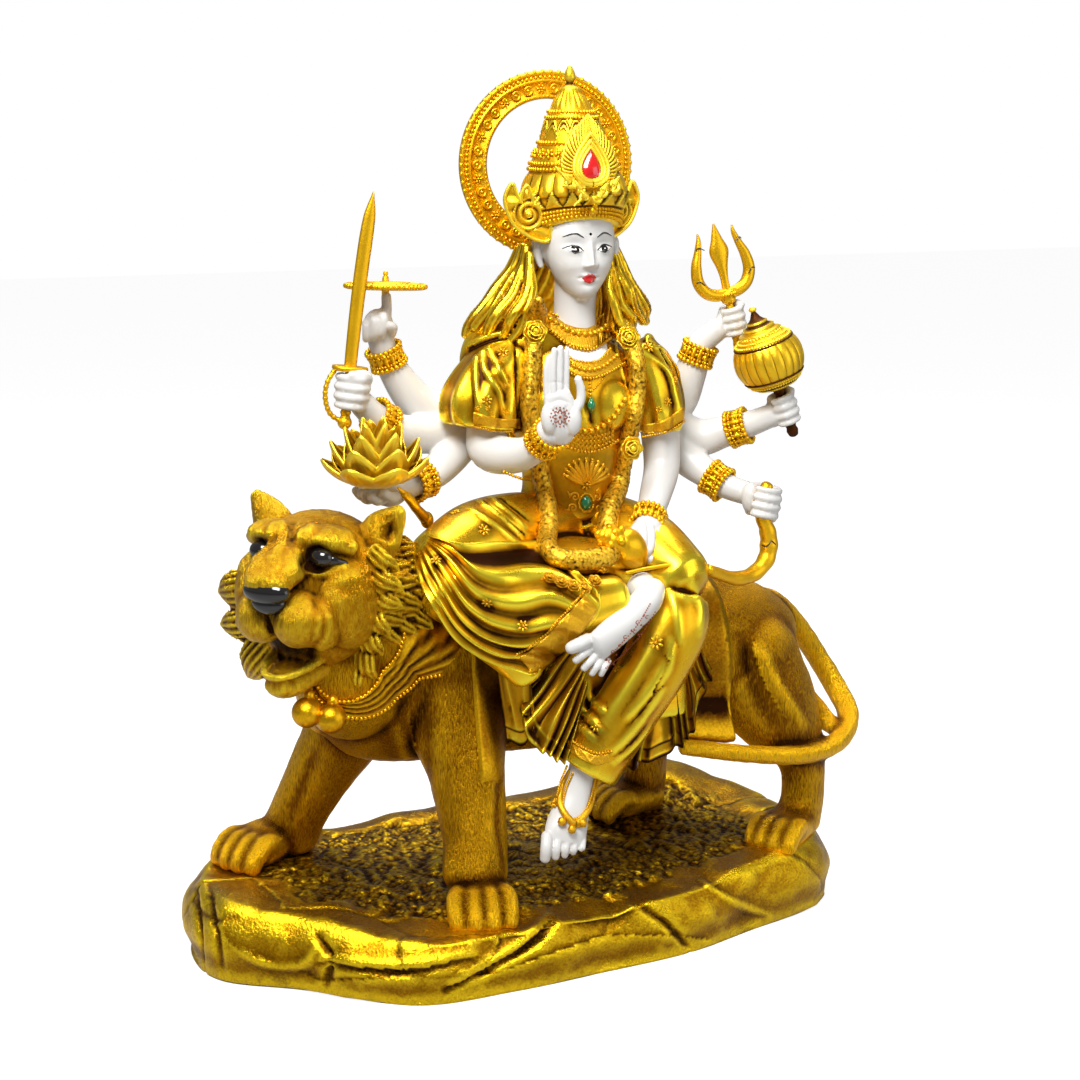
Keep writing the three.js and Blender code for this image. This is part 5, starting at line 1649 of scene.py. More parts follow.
def make_head():
    shapes = [
        ball([30, 1, 364], [20.5, 22.5, 23], sides=48, rows=32),
        limb([[30, -5, 375, 16, 15], [30, -7, 365, 18.2, 15.3], [30, -7.5, 355, 17.6, 15.2],
              [30, -8.5, 347, 15.2, 14],
              [30, -10, 341, 11.8, 11.4], [30, -11, 336.5, 8.0, 8.4], [30, -11, 333.5, 4, 4.6]], sides=64,
              rings=50),
        limb([[30, 1, 300, 14], [30, 1, 312, 12.4], [30, 0, 326, 11], [30, -2, 342, 11.5]], sides=36),
    ]
    for side in (-1, 1):
        shapes.append(limb([[30 + side * 19.5, -3, 349, 1.6, 1.2], [30 + side * 21, -2, 354, 2.2, 2.6],
                            [30 + side * 21.4, -1, 360, 2.4, 4.2], [30 + side * 20.5, 0, 364, 1.6, 2.6]],
                            sides=20))
    ob = sculpted("head_and_neck", shapes, 0.5, 14)
    verts = points_of(ob)
    x = verts[:, 0] - FACE_X
    z = verts[:, 2]
    front = np.clip((-9 - verts[:, 1]) / 5, 0, 1)

    def swell(aside, height, wide, tall, rise):
        return rise * np.exp(-(((x - aside) / wide) ** 2) - (((z - height) / tall) ** 2))

    nose_rows = [(347.6, 0, 2.4), (348.8, 1.0, 2.4), (349.8, 3.2, 2.2), (351.2, 4.6, 2.1), (353, 4.1, 1.9),
                 (356, 2.9, 1.7), (360, 1.5, 1.6), (363, 0.5, 1.8), (366, 0, 2.4)]
    high = np.interp(z, [r[0] for r in nose_rows], [r[1] for r in nose_rows])
    wide = np.interp(z, [r[0] for r in nose_rows], [r[2] for r in nose_rows])
    rise = high * np.exp(-((x / wide) ** 2))
    # Swellings of the face: height, width, tallness and amount, and for the paired ones how far aside first.
    middle_swells = [
        (345.5, 3.4, 0.85, 1.15), (342.8, 2.9, 1.05, 1.35), (344.25, 4.2, 0.4, -0.75),
        (347.3, 0.8, 1.0, -0.3), (340.4, 3.4, 1.1, -0.5), (337.6, 5.0, 3.6, 1.0),
    ]
    paired_swells = [
        (2.7, 350.6, 1.35, 1.25, 1.7), (8, 361.2, 5.0, 2.6, -1.5), (8, 358.6, 4.4, 2.3, 1.35),
        (8, 366.4, 6.0, 1.8, 0.45), (10.5, 350.5, 5.2, 5.2, 0.9), (4.6, 344.2, 1.0, 1.0, -0.5),
        (3.6, 358, 1.6, 3.2, -0.8),
    ]
    for form in middle_swells:
        rise = rise + swell(0, *form)
    for side in (-1, 1):
        for aside, *form in paired_swells:
            rise = rise + swell(side * aside, *form)
    verts[:, 1] -= rise * front
    move_to(ob, verts)
    surface = surface_of(ob)
    whites, darks, reds, shines = [], [], [], []
    eye_aside, eye_height = 8.0, 358.6
    for side in (-1, 1):
        x, z = side * eye_aside, eye_height
        whites.append(face_patch(surface, almond(x, z, 4.6, 2.2, 1.5, 0.25, side), 0.1))
        darks.append(face_patch(surface, disc(x, z + 0.2, 2.0, 30), 0.2))
        # A painted highlight: a small white dot in each eye.
        shines.append(face_patch(surface, disc(x + 0.1, z + 0.5, 0.4, 14), 0.3))
        lid = [(x - side * 4.2, z - 0.3), (x - side * 1.5, z + 1.7), (x + side * 1.5, z + 2.1),
               (x + side * 5.4, z + 0.7)]
        darks.append(brush(surface, lid, 0.52, 0.15))
        low = [(x - side * 3.6, z - 0.6), (x, z - 1.35), (x + side * 4.2, z + 0.1)]
        darks.append(brush(surface, low, 0.18, 0.12))
        brow = [(x - side * 4.3, z + 6.2), (x, z + 8.2), (x + side * 5.4, z + 6.4)]
        darks.append(brush(surface, brow, 0.46, 0.0))
    lips = [(-3.9, 344.3), (-2.2, 345.7), (-0.9, 346.3), (0, 345.9), (0.9, 346.3), (2.2, 345.7), (3.9, 344.3),
            (2.6, 342.2), (0, 341.3), (-2.6, 342.2)]
    reds.append(face_patch(surface, lips, 0.3))
    darks.append(brush(surface, [(-3.7, 344.3), (-1.2, 344.4), (0, 344.1), (1.2, 344.4), (3.7, 344.3)], 0.13,
                       0.3))
    darks.append(face_patch(surface, disc(0, 366.4, 0.7, 18), 0.12))
    settle(ob, "goddess", SKIN)
    settle(build("eye_whites_and_painted_highlights", joined(whites + shines)), "goddess", WHITE)
    settle(build("brows_and_lashes", joined(darks)), "goddess", BLACK)
    settle(build("lips", joined(reds)), "goddess", RED)


SKIN = plain("marble_white_skin", (0.60, 0.59, 0.57), 0.35, mottle=0.12, other=(0.5, 0.46, 0.36))
make_head()


def strands(count, deep):
    """The waving strands of a lock, as a change of its girth."""
    def wave(t, a):
        coarse = np.cos(count * a + 2.2 * math.sin(2.5 * t))
        fine = np.cos(count * 2.3 * a + t * 4)
        return 1 + deep * coarse + deep * 0.5 * fine

    return wave


def make_hair():
    shapes = [
        limb([[30, 8, 374, 19, 14], [30, 11, 352, 22, 15], [29, 14, 332, 31, 13], [25, 15, 318, 38, 11],
              [25, 20, 298, 38, 10], [26, 24, 270, 31, 8], [27, 23, 246, 22, 6]], sides=190, rings=120,
             wave=strands(26, 0.03)),
    ]
    # Each lock from the crown down into the shawl, as seen in the photograph, with its depth and girth.
    locks = [
        [(524, 246, 4, 2.6), (518, 268, 4, 3.6), (506, 290, 2, 4.0), (491, 308, 0, 4.0), (478, 328, 3, 3.0)],
        [(527, 247, -1, 2.4), (523, 272, -3, 3.2), (513, 295, -7, 3.8), (499, 314, -8, 3.6),
         (486, 332, -3, 2.6)],
        [(530, 254, -5, 2.0), (529, 280, -9, 2.6), (523, 302, -12, 3.0), (511, 320, -12, 2.8),
         (500, 338, -6, 2.2)],
        [(531, 266, -8, 1.7), (533, 288, -11, 2.2), (529, 308, -14, 2.6), (521, 324, -14, 2.4),
         (512, 340, -8, 2.0)],
        [(521, 250, 12, 3.6), (512, 276, 12, 5.0), (494, 300, 10, 5.2), (478, 318, 9, 4.4),
         (468, 336, 9, 3.0)],
        [(613, 254, -2, 2.4), (620, 276, -4, 3.2), (628, 294, -6, 3.6), (636, 308, -3, 3.2),
         (640, 322, 5, 2.2)],
        [(610, 260, -6, 2.0), (614, 284, -9, 2.6), (620, 300, -11, 2.8), (628, 314, -8, 2.4),
         (634, 326, 0, 1.8)],
        [(614, 250, 8, 3.0), (624, 276, 8, 4.0), (635, 296, 7, 4.2), (644, 310, 10, 3.4),
         (648, 322, 16, 2.2)],
        [(609, 268, -8, 1.6), (610, 288, -11, 2.0), (614, 306, -14, 2.4), (622, 322, -14, 2.2),
         (630, 336, -8, 1.8)],
    ]
    for number, lock in enumerate(locks):
        rows = smooth_line([seen(*station) for station in lock], 40)
        t = np.linspace(0, 1, len(rows))
        rows[:, 0] += 1.3 * np.sin(t * 11 + number * 1.9) * t
        rows[:, 1] += 0.9 * np.sin(t * 9 + number * 2.7) * t
        rows = np.column_stack([rows, rows[:, 3]])
        shapes.append(limb(rows, sides=48, rings=90, wave=strands(7 + number % 3, 0.12)))
    ob = sculpted("hair", shapes, 0.6, 1)
    find_hollows(ob, 8, 0.3)
    settle(ob, "goddess", ROBE_GOLD)


make_hair()

CROWN_LINE = [
    (1.2, 27.5, 449), (2.6, 27.5, 446), (3.0, 27.5, 443.5), (1.6, 27.5, 441), (5.0, 27.6, 438.6),
    (5.6, 27.7, 436.4), (8.5, 28.0, 432), (11.0, 28.4, 428), (12.8, 28.6, 425), (14.0, 28.9, 421),
    (16.0, 29.2, 416), (17.6, 29.5, 412), (19.2, 29.6, 408), (21.8, 29.8, 402), (23.4, 30, 396),
    (25.4, 30, 390), (26.6, 30, 385), (25.6, 30, 380), (24.0, 30, 376), (24.6, 30, 373), (24.4, 30, 370),
    (22.6, 30, 366),
]


def crown_point(a, z, extra=0.0):
    """A point of the crown's skin; its brow band rises to the front."""
    rows = CROWN_LINE[::-1]
    heights = [r[2] for r in rows]
    r = np.interp(z, heights, [r[0] for r in rows]) + extra
    x = np.interp(z, heights, [r[1] for r in rows])
    y = 1.35 + r * math.sin(a)
    lift = -0.3 * y * (390 - z) / 20 if z < 390 else 0
    return np.array([x + r * math.cos(a), y, z + lift])


def make_plume():
    """The drop-shaped feather on the brow of the crown, its three rims and its red stone."""
    foot = at_depth((590, 188), -29.5)
    tip = at_depth((587.5, 113.5), -19)
    tall = np.linalg.norm(tip - foot)
    up = unit(tip - foot)
    out = unit(np.cross([1, 0, 0], up))
    aside = np.cross(up, out)

    def tear(t, wide, high, low=0.0):
        """A drop-shaped outline, pointed at its top."""
        return np.array([wide * math.sin(t) * math.sin(t / 2) ** 1.1, low + high * (0.5 + 0.5 * math.cos(t))])

    def on_plume(pair, rise):
        return foot + aside * pair[0] + up * pair[1] + out * rise

    def barbs(share, turn, pair):
        """Fine barbs sweep out and up from the rims to the feather's edge."""
        t = turn * 2 * math.pi
        swept = min(t, 2 * math.pi - t) + 0.8 * share
        strength = 0.42 * (share > 0.4) * (1 - 0.5 * share)
        return 2.6 - 1.9 * share**3 + strength * math.cos(42 * swept)

    turns = np.linspace(0, 2 * math.pi, 400, endpoint=False)
    parts = [boss([tear(t, 20.0, tall) for t in turns], (0, 13), on_plume, barbs, 44)]
    for wide, high, low, thick in ((12.2, 26.0, 0.8, 1.0), (9.6, 21.0, 2.2, 1.15), (7.6, 17.0, 3.2, 0.8)):
        loop = [[*on_plume(tear(t, wide, high, low), 2.8), thick] for t in np.linspace(0.0, 2 * math.pi, 60)]
        parts.append(limb(loop, sides=12, rings=140))
    for side in (-1, 1):
        for x, z, reach, spin in ((6, -1.5, 1.1, 1.5), (3.5, -5.4, 0.9, 2.3), (12, 1.5, 1.2, 0.8)):
            spiral = curl(3.0, 1.05, -side, 1.2, 1.8)
            parts.append(placed(spiral, on_plume((x * side, z), 1.8), way=out, spin=-side * spin, size=reach))
            leaf = [[*on_plume((side * (x + 1.5 * k), z + 0.5 + 1.9 * k), 2.2),
                     1.7 - 0.5 * k] for k in range(3)]
            parts.append(limb(leaf, sides=12))
    ob = build("crown_plume", joined(parts))
    close_up(ob, 0.0001)
    find_hollows(ob, 5, 0.22)
    settle(ob, "goddess", GOLD)
    stone = boss([tear(t, 6.2, 14.6, 4.2) for t in turns[::8]], (0, 9.5), on_plume,
                 lambda share, turn, pair: 2.8 + 1.6 * (1 - share**2), 9, 2.2)
    settle(build("red_gem", stone), "goddess", RED)


def make_wings():
    """A scrolled leaf stands out on each side of the crown above the ear, with three tips."""
    # The outline of the left leaf on the photograph, and the depth at which it stands.
    outline = smooth_line([(549, 240), (540, 241), (528, 236), (515, 226), (507, 211), (505, 197),
                           (512, 184), (517, 194), (521, 203), (522, 194), (527, 186), (532, 196),
                           (534, 205), (539, 198), (546, 194),
                           (549, 206), (551, 224)], 150, closed=True)
    middle = np.array([529.0, 215.0])

    def put(pair, rise):
        return at_depth(pair, -8.0 - 0.12 * (pair[0] - 529)) - VIEW * rise

    def relief(share, turn, pair):
        """A spiral groove about the eye of the leaf, and veins that run on to the tips."""
        x, y = (pair - middle) / 2.0
        r = math.hypot(x, y)
        a = math.atan2(y, x)
        spiral = math.cos(2.4 * r ** 0.9 - a) if r < 8 else math.cos(7 * a + r * 0.5)
        return 1.6 * (1 - share**4) + 1.2 * math.exp(-((r / 4) ** 2)) + 0.75 * spiral * (1 - share**6)

    left = boss(outline, middle, put, relief, 26, -2.6)
    eye = placed(BEAD, put(middle, 2.6), size=2.0)
    loop = [[*put(p, 1.0), 1.0] for p in outline]
    rim = limb(loop, sides=8, rings=220)
    parts = [left, eye, rim]
    for verts, faces in (left, eye, rim):
        parts.append((np.array(verts) * [-1, 1, 1] + [54, 4, 0], [tuple(reversed(f)) for f in faces]))
    ob = build("crown_wings", joined(parts))
    close_up(ob, 0.0001)
    find_hollows(ob, 4, 0.5)
    settle(ob, "goddess", GOLD)


def make_crown():
    sides, rows = 256, 170
    heights = np.linspace(449, 366, rows)
    verts = []
    for z in heights:
        for s in range(sides):
            a = s / sides * 2 * math.pi
            extra = 0.0
            if 428 < z < 438:
                extra = 0.7 * abs(math.cos(9 * a)) * math.sin((z - 428) / 10 * math.pi)
            if 413.5 < z < 422.5:
                arch = 413.5 + 9 * abs(math.cos(7 * a)) ** 0.5
                extra = 0.9 * math.exp(-(((z - arch) / 0.9) ** 2))
                extra = extra + 0.5 * math.exp(-(((z - arch + 3) / 0.7) ** 2))
            if 383 < z < 397:
                bulge = math.sin(min(1.0, (z - 383) / 13) * math.pi) ** 0.5
                extra = 1.6 * abs(math.cos(10 * a)) ** 0.7 * bulge
            if 376 < z <= 388:
                point = 376 + 11 * (1 - abs(math.sin(8 * a))) ** 0.8
                extra = max(extra, 2.0 if z < point else 0)
            verts.append(crown_point(a, z, extra))
    top = crown_point(0, 449) + np.array([-1.2, 0, 1.2])
    bottom = np.array([30, 1, 366.0])
    faces = lattice(rows, sides)
    n = len(verts)
    verts += [top, bottom]
    for s in range(sides):
        nxt = (s + 1) % sides
        faces.append((n, nxt, s))
        faces.append((n + 1, (rows - 1) * sides + s, (rows - 1) * sides + nxt))
    ob = build("crown", (np.array(verts), [tuple(reversed(f)) for f in faces]))
    close_up(ob, 0.0001)
    find_hollows(ob, 8, 0.3)
    settle(ob, "goddess", GOLD)

    parts = []
    turn = np.linspace(0, 2 * math.pi, 160)
    rounds = [(426.8, 1.0, 0.3), (424.0, 1.0, 0.3), (411.4, 1.15, 0.4), (401.0, 1.15, 0.6),
              (398.2, 1.15, 0.6),
              (373.2, 1.0, 0.5), (368.2, 1.25, 0.6), (370.7, 1.0, 0.4)]
    for z, radius, out in rounds:
        parts += beads([crown_point(a, z, out) for a in turn], radius, 1.85, closed=True)
    knob = rosette(5, 1.0, 0.5)
    for i in range(22):
        a = i / 22 * 2 * math.pi
        parts.append(placed(knob, crown_point(a, 406, 0.3), way=(math.cos(a), math.sin(a), 0.45), size=2.9))
    parts.append(placed(BEAD, (29.5, -26.6, 378.2), size=2.3))
    parts.append(placed(BEAD, (29.8, -29.0, 381.0), size=1.5))
    settle(build("crown_jewels", joined(parts)), "goddess", GOLD)
    make_plume()
    make_wings()


make_crown()


def make_halo():
    """A ring with a plain inner lip, a row of studs, a string of beads and a scalloped rim."""
    profile = [
        (33.5, -2.5), (33.5, 1.5), (34.3, 2.5), (35.6, 2.5), (36.0, 1.2), (42.0, 1.2), (42.4, 2.3),
        (43.4, 2.3), (43.8, 0.9), (45.6, 0.9), (46.2, 1.9), (47.6, 1.7), (48.0, 0.4), (48.0, -1.6),
        (47.0, -2.5),
    ]
    cup = spun([(0, 0.6), (0.25, 0.6), (0.35, 0.2), (0.62, 0.2), (0.75, 0.75), (0.95, 0.5), (1.0, 0),
                (0, 0)], 14)
    star = rosette(6, 1.0, 0.6)
    parts = [
        spun(profile, 132), *ring_of([BEAD], 66, 47.3, 0.6, 1.5), *ring_of([BEAD], 110, 44.7, 1.3, 1.1),
        *ring_of([star, cup, cup], 34, 39.0, 1.1, 2.7), *ring_of([BEAD], 100, 34.9, 2.3, 0.8),
    ]
    shape = joined(parts)
    verts = shape[0] @ np.array(Matrix.Rotation(math.radians(90), 3, "X")).T + HALO_CENTRE
    ob = build("halo_ring", (verts, shape[1]))
    settle(ob, "halo", GOLD)


make_halo()


# Arms and hands.


def finger(stations, girth):
    """One finger through these points, a little thicker at its joints."""
    rows = []
    for i, p in enumerate(stations):
        rows.append([*p, girth * (1.0, 0.97, 0.92, 0.8, 0.7)[min(i, 4)]])
    return limb(rows, sides=16, rings=max(16, len(rows) * 7), blunt=0.9)


def fist(at, grip, palm, size=1.0, hand=1, around=3.6):
    """A closed hand about a grip: four fingers curl round it and the thumb lies over them."""
    g = unit(grip)
    p = unit(np.asarray(palm, float) - g * np.dot(g, palm))
    q = np.cross(g, p) * hand
    parts = []
    for k in range(4):
        girth = (2.75, 2.9, 2.8, 2.4)[k] * size
        height = (7.2, 2.5, -2.3, -6.8)[k] * size
        line = []
        for turn in (-150, -95, -40, 15, 75, 130):
            a = math.radians(turn)
            r = (around + girth) * (1.15 if turn in (-95, -40) else 1.0)
            line.append(np.asarray(at, float) + g * height + (p * math.cos(a) + q * math.sin(a)) * r)
        parts.append(finger(line, girth))
    back = np.asarray(at, float) - p * (around + 2.6) * size - q * 2.0
    parts.append(ball(back, (5.2 * size, 5.2 * size, 9.0 * size)))
    thumb = [
        np.asarray(at, float) - p * 6 * size + g * 2 * size - q * 5 * size,
        np.asarray(at, float) - q * (around + 4.4) * size + g * 7 * size,
        np.asarray(at, float) + p * 3.4 * size - q * (around + 2.6) * size + g * 9.5 * size,
        np.asarray(at, float) + p * 7.2 * size - q * 0.5 * size + g * 9.0 * size,
    ]
    parts.append(finger(thumb, 2.8 * size))
    return parts


RIGHT_ROOT = [-22, 13, 268, 11]
LEFT_ROOT = [80, 13, 266, 11]
DISCUS_ARM = [RIGHT_ROOT, [-42, 17, 274, 10.5], [-54, 17, 283, 9.6], [-66, 15, 301, 7.4], [-71, 14, 314, 6.6]]
SWORD_ARM = [RIGHT_ROOT, [-48, 8, 264, 10.4], [-66, 0, 268, 8.6], [-80, -5, 277, 7], [-87, -8, 284, 6.6]]
LOTUS_ARM = [RIGHT_ROOT, [-34, 4, 256, 10], [-48, -7, 247, 8.4], [-60, -13, 243, 6.8], [-70, -17, 241.5, 6.4]]
TRIDENT_ARM = [LEFT_ROOT, [95, 14, 272, 10], [101, 11, 288, 8.8], [106, 8, 304, 7], [114, 5, 312, 6.2]]
MACE_ARM = [LEFT_ROOT, [102, 6, 254.3, 10.4], [115, -2, 257.3, 8.6], [126, -11.5, 262.5, 7],
            [136, -19.5, 268, 6.2]]
BOW_ARM = [LEFT_ROOT, [94, 4, 246, 9.8], [103, -8, 236.5, 8], [111, -17, 230.5, 6.8], [124, -27, 226, 6.2]]


def make_right_arms():
    shapes = [limb(arm, sides=32) for arm in (DISCUS_ARM, SWORD_ARM, LOTUS_ARM)]
    shapes += fist([-93.5, -10, 290.5], [0.125, 0, 1], [-0.35, -1, 0.1], 1.0, -1)
    shapes += [
        ball([-72, 13, 320.5], [8, 6, 8.5]),
        finger([(-68, 13, 322), (-67.6, 12.5, 329), (-67.4, 13.5, 335)], 2.8),
        finger([(-71.5, 9, 325), (-72, 3.5, 325.5), (-72.5, 4.5, 318.5), (-72.5, 8, 316)], 2.7),
        finger([(-75.5, 9.5, 324), (-76.5, 4.5, 323.5), (-76.8, 5.2, 317), (-76.5, 8.5, 315)], 2.6),
        finger([(-79, 10.5, 322), (-80, 6.5, 321), (-80, 7, 315.5), (-79.5, 9.5, 314)], 2.4),
        finger([(-66, 10, 316), (-66.5, 5, 320), (-69.5, 3.2, 321.5)], 2.5),
        ball([-77, -21, 239.5], [9, 7.5, 6.5]),
        finger([(-80, -26, 239), (-86, -31, 238.5), (-90, -33, 241)], 2.7),
        finger([(-83, -22, 239), (-90, -26, 238.5), (-93.5, -28, 242)], 2.7),
        finger([(-84, -18, 239), (-91, -20, 239), (-94.5, -21, 242.5)], 2.5),
        finger([(-83, -15, 240), (-88, -14, 241), (-91.5, -14, 244)], 2.3),
        finger([(-74, -26, 240), (-79, -32, 240), (-84, -35, 243)], 2.8),
    ]
    ob = sculpted("right_arms_skin", shapes, 0.75, 3)
    settle(ob, "right_arms", SKIN)


def make_left_arms():
    shapes = [limb(arm, sides=32) for arm in (TRIDENT_ARM, MACE_ARM, BOW_ARM)]
    shapes += fist([122, 3.5, 316], [-0.22, 0.03, 0.97], [0.8, -0.5, 0], 0.9, -1, 2.6)
    shapes += fist([141, -22.4, 271], [-0.34, 0.05, 0.94], [0.9, -0.45, 0.2], 0.95, -1, 3.0)
    shapes += fist([124, -35, 225], [-0.2, 0, -1], [0.9, -0.4, 0], 0.95, 1, 4.6)
    ob = sculpted("left_arms_skin", shapes, 0.75, 3)
    settle(ob, "left_arms", SKIN)


make_right_arms()
make_left_arms()


def make_front_hands():
    palm_y = -57
    thumb_mount, palm_edge = (572, 420), (549, 418)
    # The fingers of the raised hand and its thumb: how far each stands from the palm, its pixels and girth.
    raised = [
        (0.4, [(547, 400), (546.5, 384), (546.5, 370), (549, 357)], 1.75),
        (-0.6, [(553.2, 398), (552.8, 380), (553, 364), (554.5, 350)], 1.95),
        (0, [(559.6, 397), (559.6, 378), (560, 362), (560.5, 348)], 1.95),
        (1.0, [(566, 396), (566, 380), (566.4, 366), (566.6, 351)], 1.85),
        (-1.5, [(573, 414), (580, 402), (581, 390), (578, 379)], 2.4),
    ]
    forearm = [[-19, -5, 276, 10.5], [-22, -13, 258, 10.5], [-13, -31, 257, 9], [-5, -46, 265, 6.8],
               [-3, -52, 272, 7]]
    palm = [seen(560, 438, -52, 7, 5), seen(560, 428, -55, 8.6, 5.0), seen(560, 410, -57, 8.6, 4.4),
            seen(557, 394, -57.4, 6.8, 2.8)]
    open_hand = [
        limb(forearm, sides=36),
        limb(palm, sides=32, blunt=0.5),
        ball(at_depth(thumb_mount, -58), [5, 4.4, 8]),
        ball(at_depth(palm_edge, -58), [4.2, 4.0, 8]),
        *[finger([at_depth(p, palm_y + off) for p in pixels], girth) for off, pixels, girth in raised],
    ]
    # The hand under the conch: the back of it, its knuckles and its thumb.
    hand_back = (648, 530)
    knuckles = ((641, 524), (649, 525), (657, 529), (664, 536))
    thumb = [(636, 528, -50), (629, 540, -58), (626, 552, -62)]
    holding = [
        limb([[76, -6, 266, 10.5], [76, -10, 243, 9.6], [67, -23, 230, 8.4], [58, -36, 221, 6.8]], sides=36),
        ball(at_depth(hand_back, -45), [8.6, 7, 8.5]),
    ]
    for k, (x, y) in enumerate(knuckles):
        line = [at_depth((x, y), -49), at_depth((x + 2, y + 12), -54.5), at_depth((x + 0.5, y + 24), -57.5),
                at_depth((x - 7, y + 31), -58.5)]
        holding.append(finger(line, 2.75 - 0.2 * k))
    holding.append(finger([seen(*p) for p in thumb], 2.6))
    hands = sculpted("front_arms_skin", open_hand + holding, 0.46, 2)
    surface = surface_of(hands)
    creases = [
        ([(549, 404), (560, 400), (571, 404)], 0.9, -0.5), ([(546, 411), (558, 410), (567, 415)], 0.9, -0.45),
        ([(568, 404), (564, 418), (568, 432)], 0.9, -0.6), ([(545, 384), (557, 382), (568, 385)], 0.6, -0.25),
    ]
    carve(hands, strokes_on(surface, creases))
    henna = []
    dot = ball((0, 0, 0), (1, 1, 1), sides=8, rows=5)
    middle = np.array([560.0, 417.0])
    henna += [placed(dot, onto(surface, [middle])[0], size=0.8)]
    petal = ((-0.2, 3.2), (-0.3, 5.4), (0, 7.4), (0.3, 5.4), (0.2, 3.2))
    for i in range(8):
        a = i / 8 * 2 * math.pi
        loop = [middle + np.array([math.cos(a + d) * r, math.sin(a + d) * r]) for d, r in petal]
        henna.append(painted_line(surface, loop, 0.26, 0.0))
    for a in np.linspace(0, 2 * math.pi, 16, endpoint=False):
        spot = middle + np.array([math.cos(a), math.sin(a)]) * 9.6
        henna.append(placed(dot, onto(surface, [spot])[0], size=0.42))
    settle(hands, "goddess", SKIN)

    foot = [
        limb([seen(652, 590, -66, 7), seen(646, 601, -73, 7.8), seen(630, 618, -77, 8.0, 7.2),
              seen(612, 634, -81, 8.6, 6.6),
              seen(598, 646, -84, 8.6, 5.0)], wide=(0.5, 0.3, -0.8), sides=36),
        limb([seen(640, 586, -62, 8), seen(652, 598, -70, 7.2)], sides=24),
    ]
    toes = [((588, 640), (571, 648), 3.5), ((590, 649), (576, 660), 2.2), ((596, 655), (584, 668), 2.1),
            ((602, 659), (592, 673), 2.0), ((608, 661), (601, 674), 1.8)]
    for base, tip, girth in toes:
        middle_px = ((base[0] + tip[0]) / 2, (base[1] + tip[1]) / 2)
        foot.append(finger([at_depth(base, -83), at_depth(middle_px, -86), at_depth(tip, -85)], girth))
    hanging = [limb([seen(590, 746, -62, 9, 8.5), seen(583, 772, -62.5, 7.8, 7.6),
                     seen(576, 794, -63, 8.2, 8),
                     seen(570, 814, -66, 10, 7.8), seen(566, 830, -70, 11, 6),
                     seen(564, 840, -72, 10.6, 4.4)], sides=36)]
    # The toes of the hanging foot: where each stands aside, how low its tip lies, and its girth.
    hanging_toes = ((547, 864, 3.0), (557.5, 861, 2.25), (566.5, 859, 2.15), (575, 856, 2.0),
                    (583, 851, 1.85))
    root_row, joint_row = 836, 848
    for u, tip, girth in hanging_toes:
        hanging.append(finger([seen(u, root_row, -72), seen(u - 1, joint_row, -75.5),
                               seen(u - 2, tip - girth * 1.9, -75)], girth))
    feet = sculpted("feet", foot + hanging, 0.46, 2)
    skin = surface_of(feet)
    sole = ([(606, 668), (622, 655), (640, 636), (655, 612)],
            [(605, 660), (620, 645), (638, 624), (650, 604)])
    for edge in sole:
        for p in smooth_line(edge, 30):
            henna.append(placed(dot, onto(skin, [p], spare_y=-80)[0], size=0.45))
    instep = (610, 662)
    for row, shift in enumerate((-3.5, 0.0, 3.5)):
        for k in range(7):
            p = np.array([instep[0] + 6.2 * k + shift, instep[1] - 7.4 * k + shift * 0.6])
            if (k + row) % 2:
                turns = np.linspace(0.4, 3.2, 10)
                spiral = [p + 0.8 * t * np.array([math.cos(t * 1.7), math.sin(t * 1.7)]) for t in turns]
                henna.append(painted_line(skin, spiral, 0.24, 0.0))
            else:
                henna.append(placed(dot, onto(skin, [p], spare_y=-80)[0], size=0.6))
    settle(feet, "goddess", SKIN)
    settle(build("henna_motifs", joined(henna)), "goddess", HENNA)

    strap = [(570, 770), (563, 788), (561, 806), (574, 823), (586, 812), (592, 796), (597, 776)]
    anklet = [painted_line(skin, strap, 2.0, 0.5)]
    for shift in (-4, 4):
        edge = [(x + shift * (1 if x < 575 else -1) * 0.8, y + shift * 0.9) for x, y in strap]
        anklet += beads(onto(skin, smooth_line(edge, 60), -66, lift=0.9), 0.75, 1.6)
    studs = ((562, 822), (571, 829), (581, 823))
    flowers = (((556, 803), 3.4), ((592, 803), 2.6), ((575, 822), 2.4))
    for pixel in studs:
        anklet.append(placed(BEAD, onto(skin, [pixel], lift=1.8)[0], size=2.5))
    for pixel, size in flowers:
        anklet.append(motif_on(skin, pixel, rosette(6, 1.0, 0.6), size))
    settle(build("anklet", joined(anklet)), "goddess", GOLD_GRAINY)


make_front_hands()


def bangle(at, way, wrist):
    band = ribbed_band(wrist + 1.4, 8.0, 1.6, 15)
    parts = [placed(band, at, way)]
    for z in (-4.6, 4.6):
        line = hoop((0, 0, z), (0, 0, 1), wrist + 1.7, 90)
        parts += [placed(joined(beads(line, 1.45, 1.8, closed=True)), at, way)]
    for z in (-2.4, 2.4):
        line = hoop((0, 0, z), (0, 0, 1), wrist + 1.9, 90)
        parts += [placed(joined(beads(line, 0.75, 2.1, closed=True)), at, way)]
    return parts


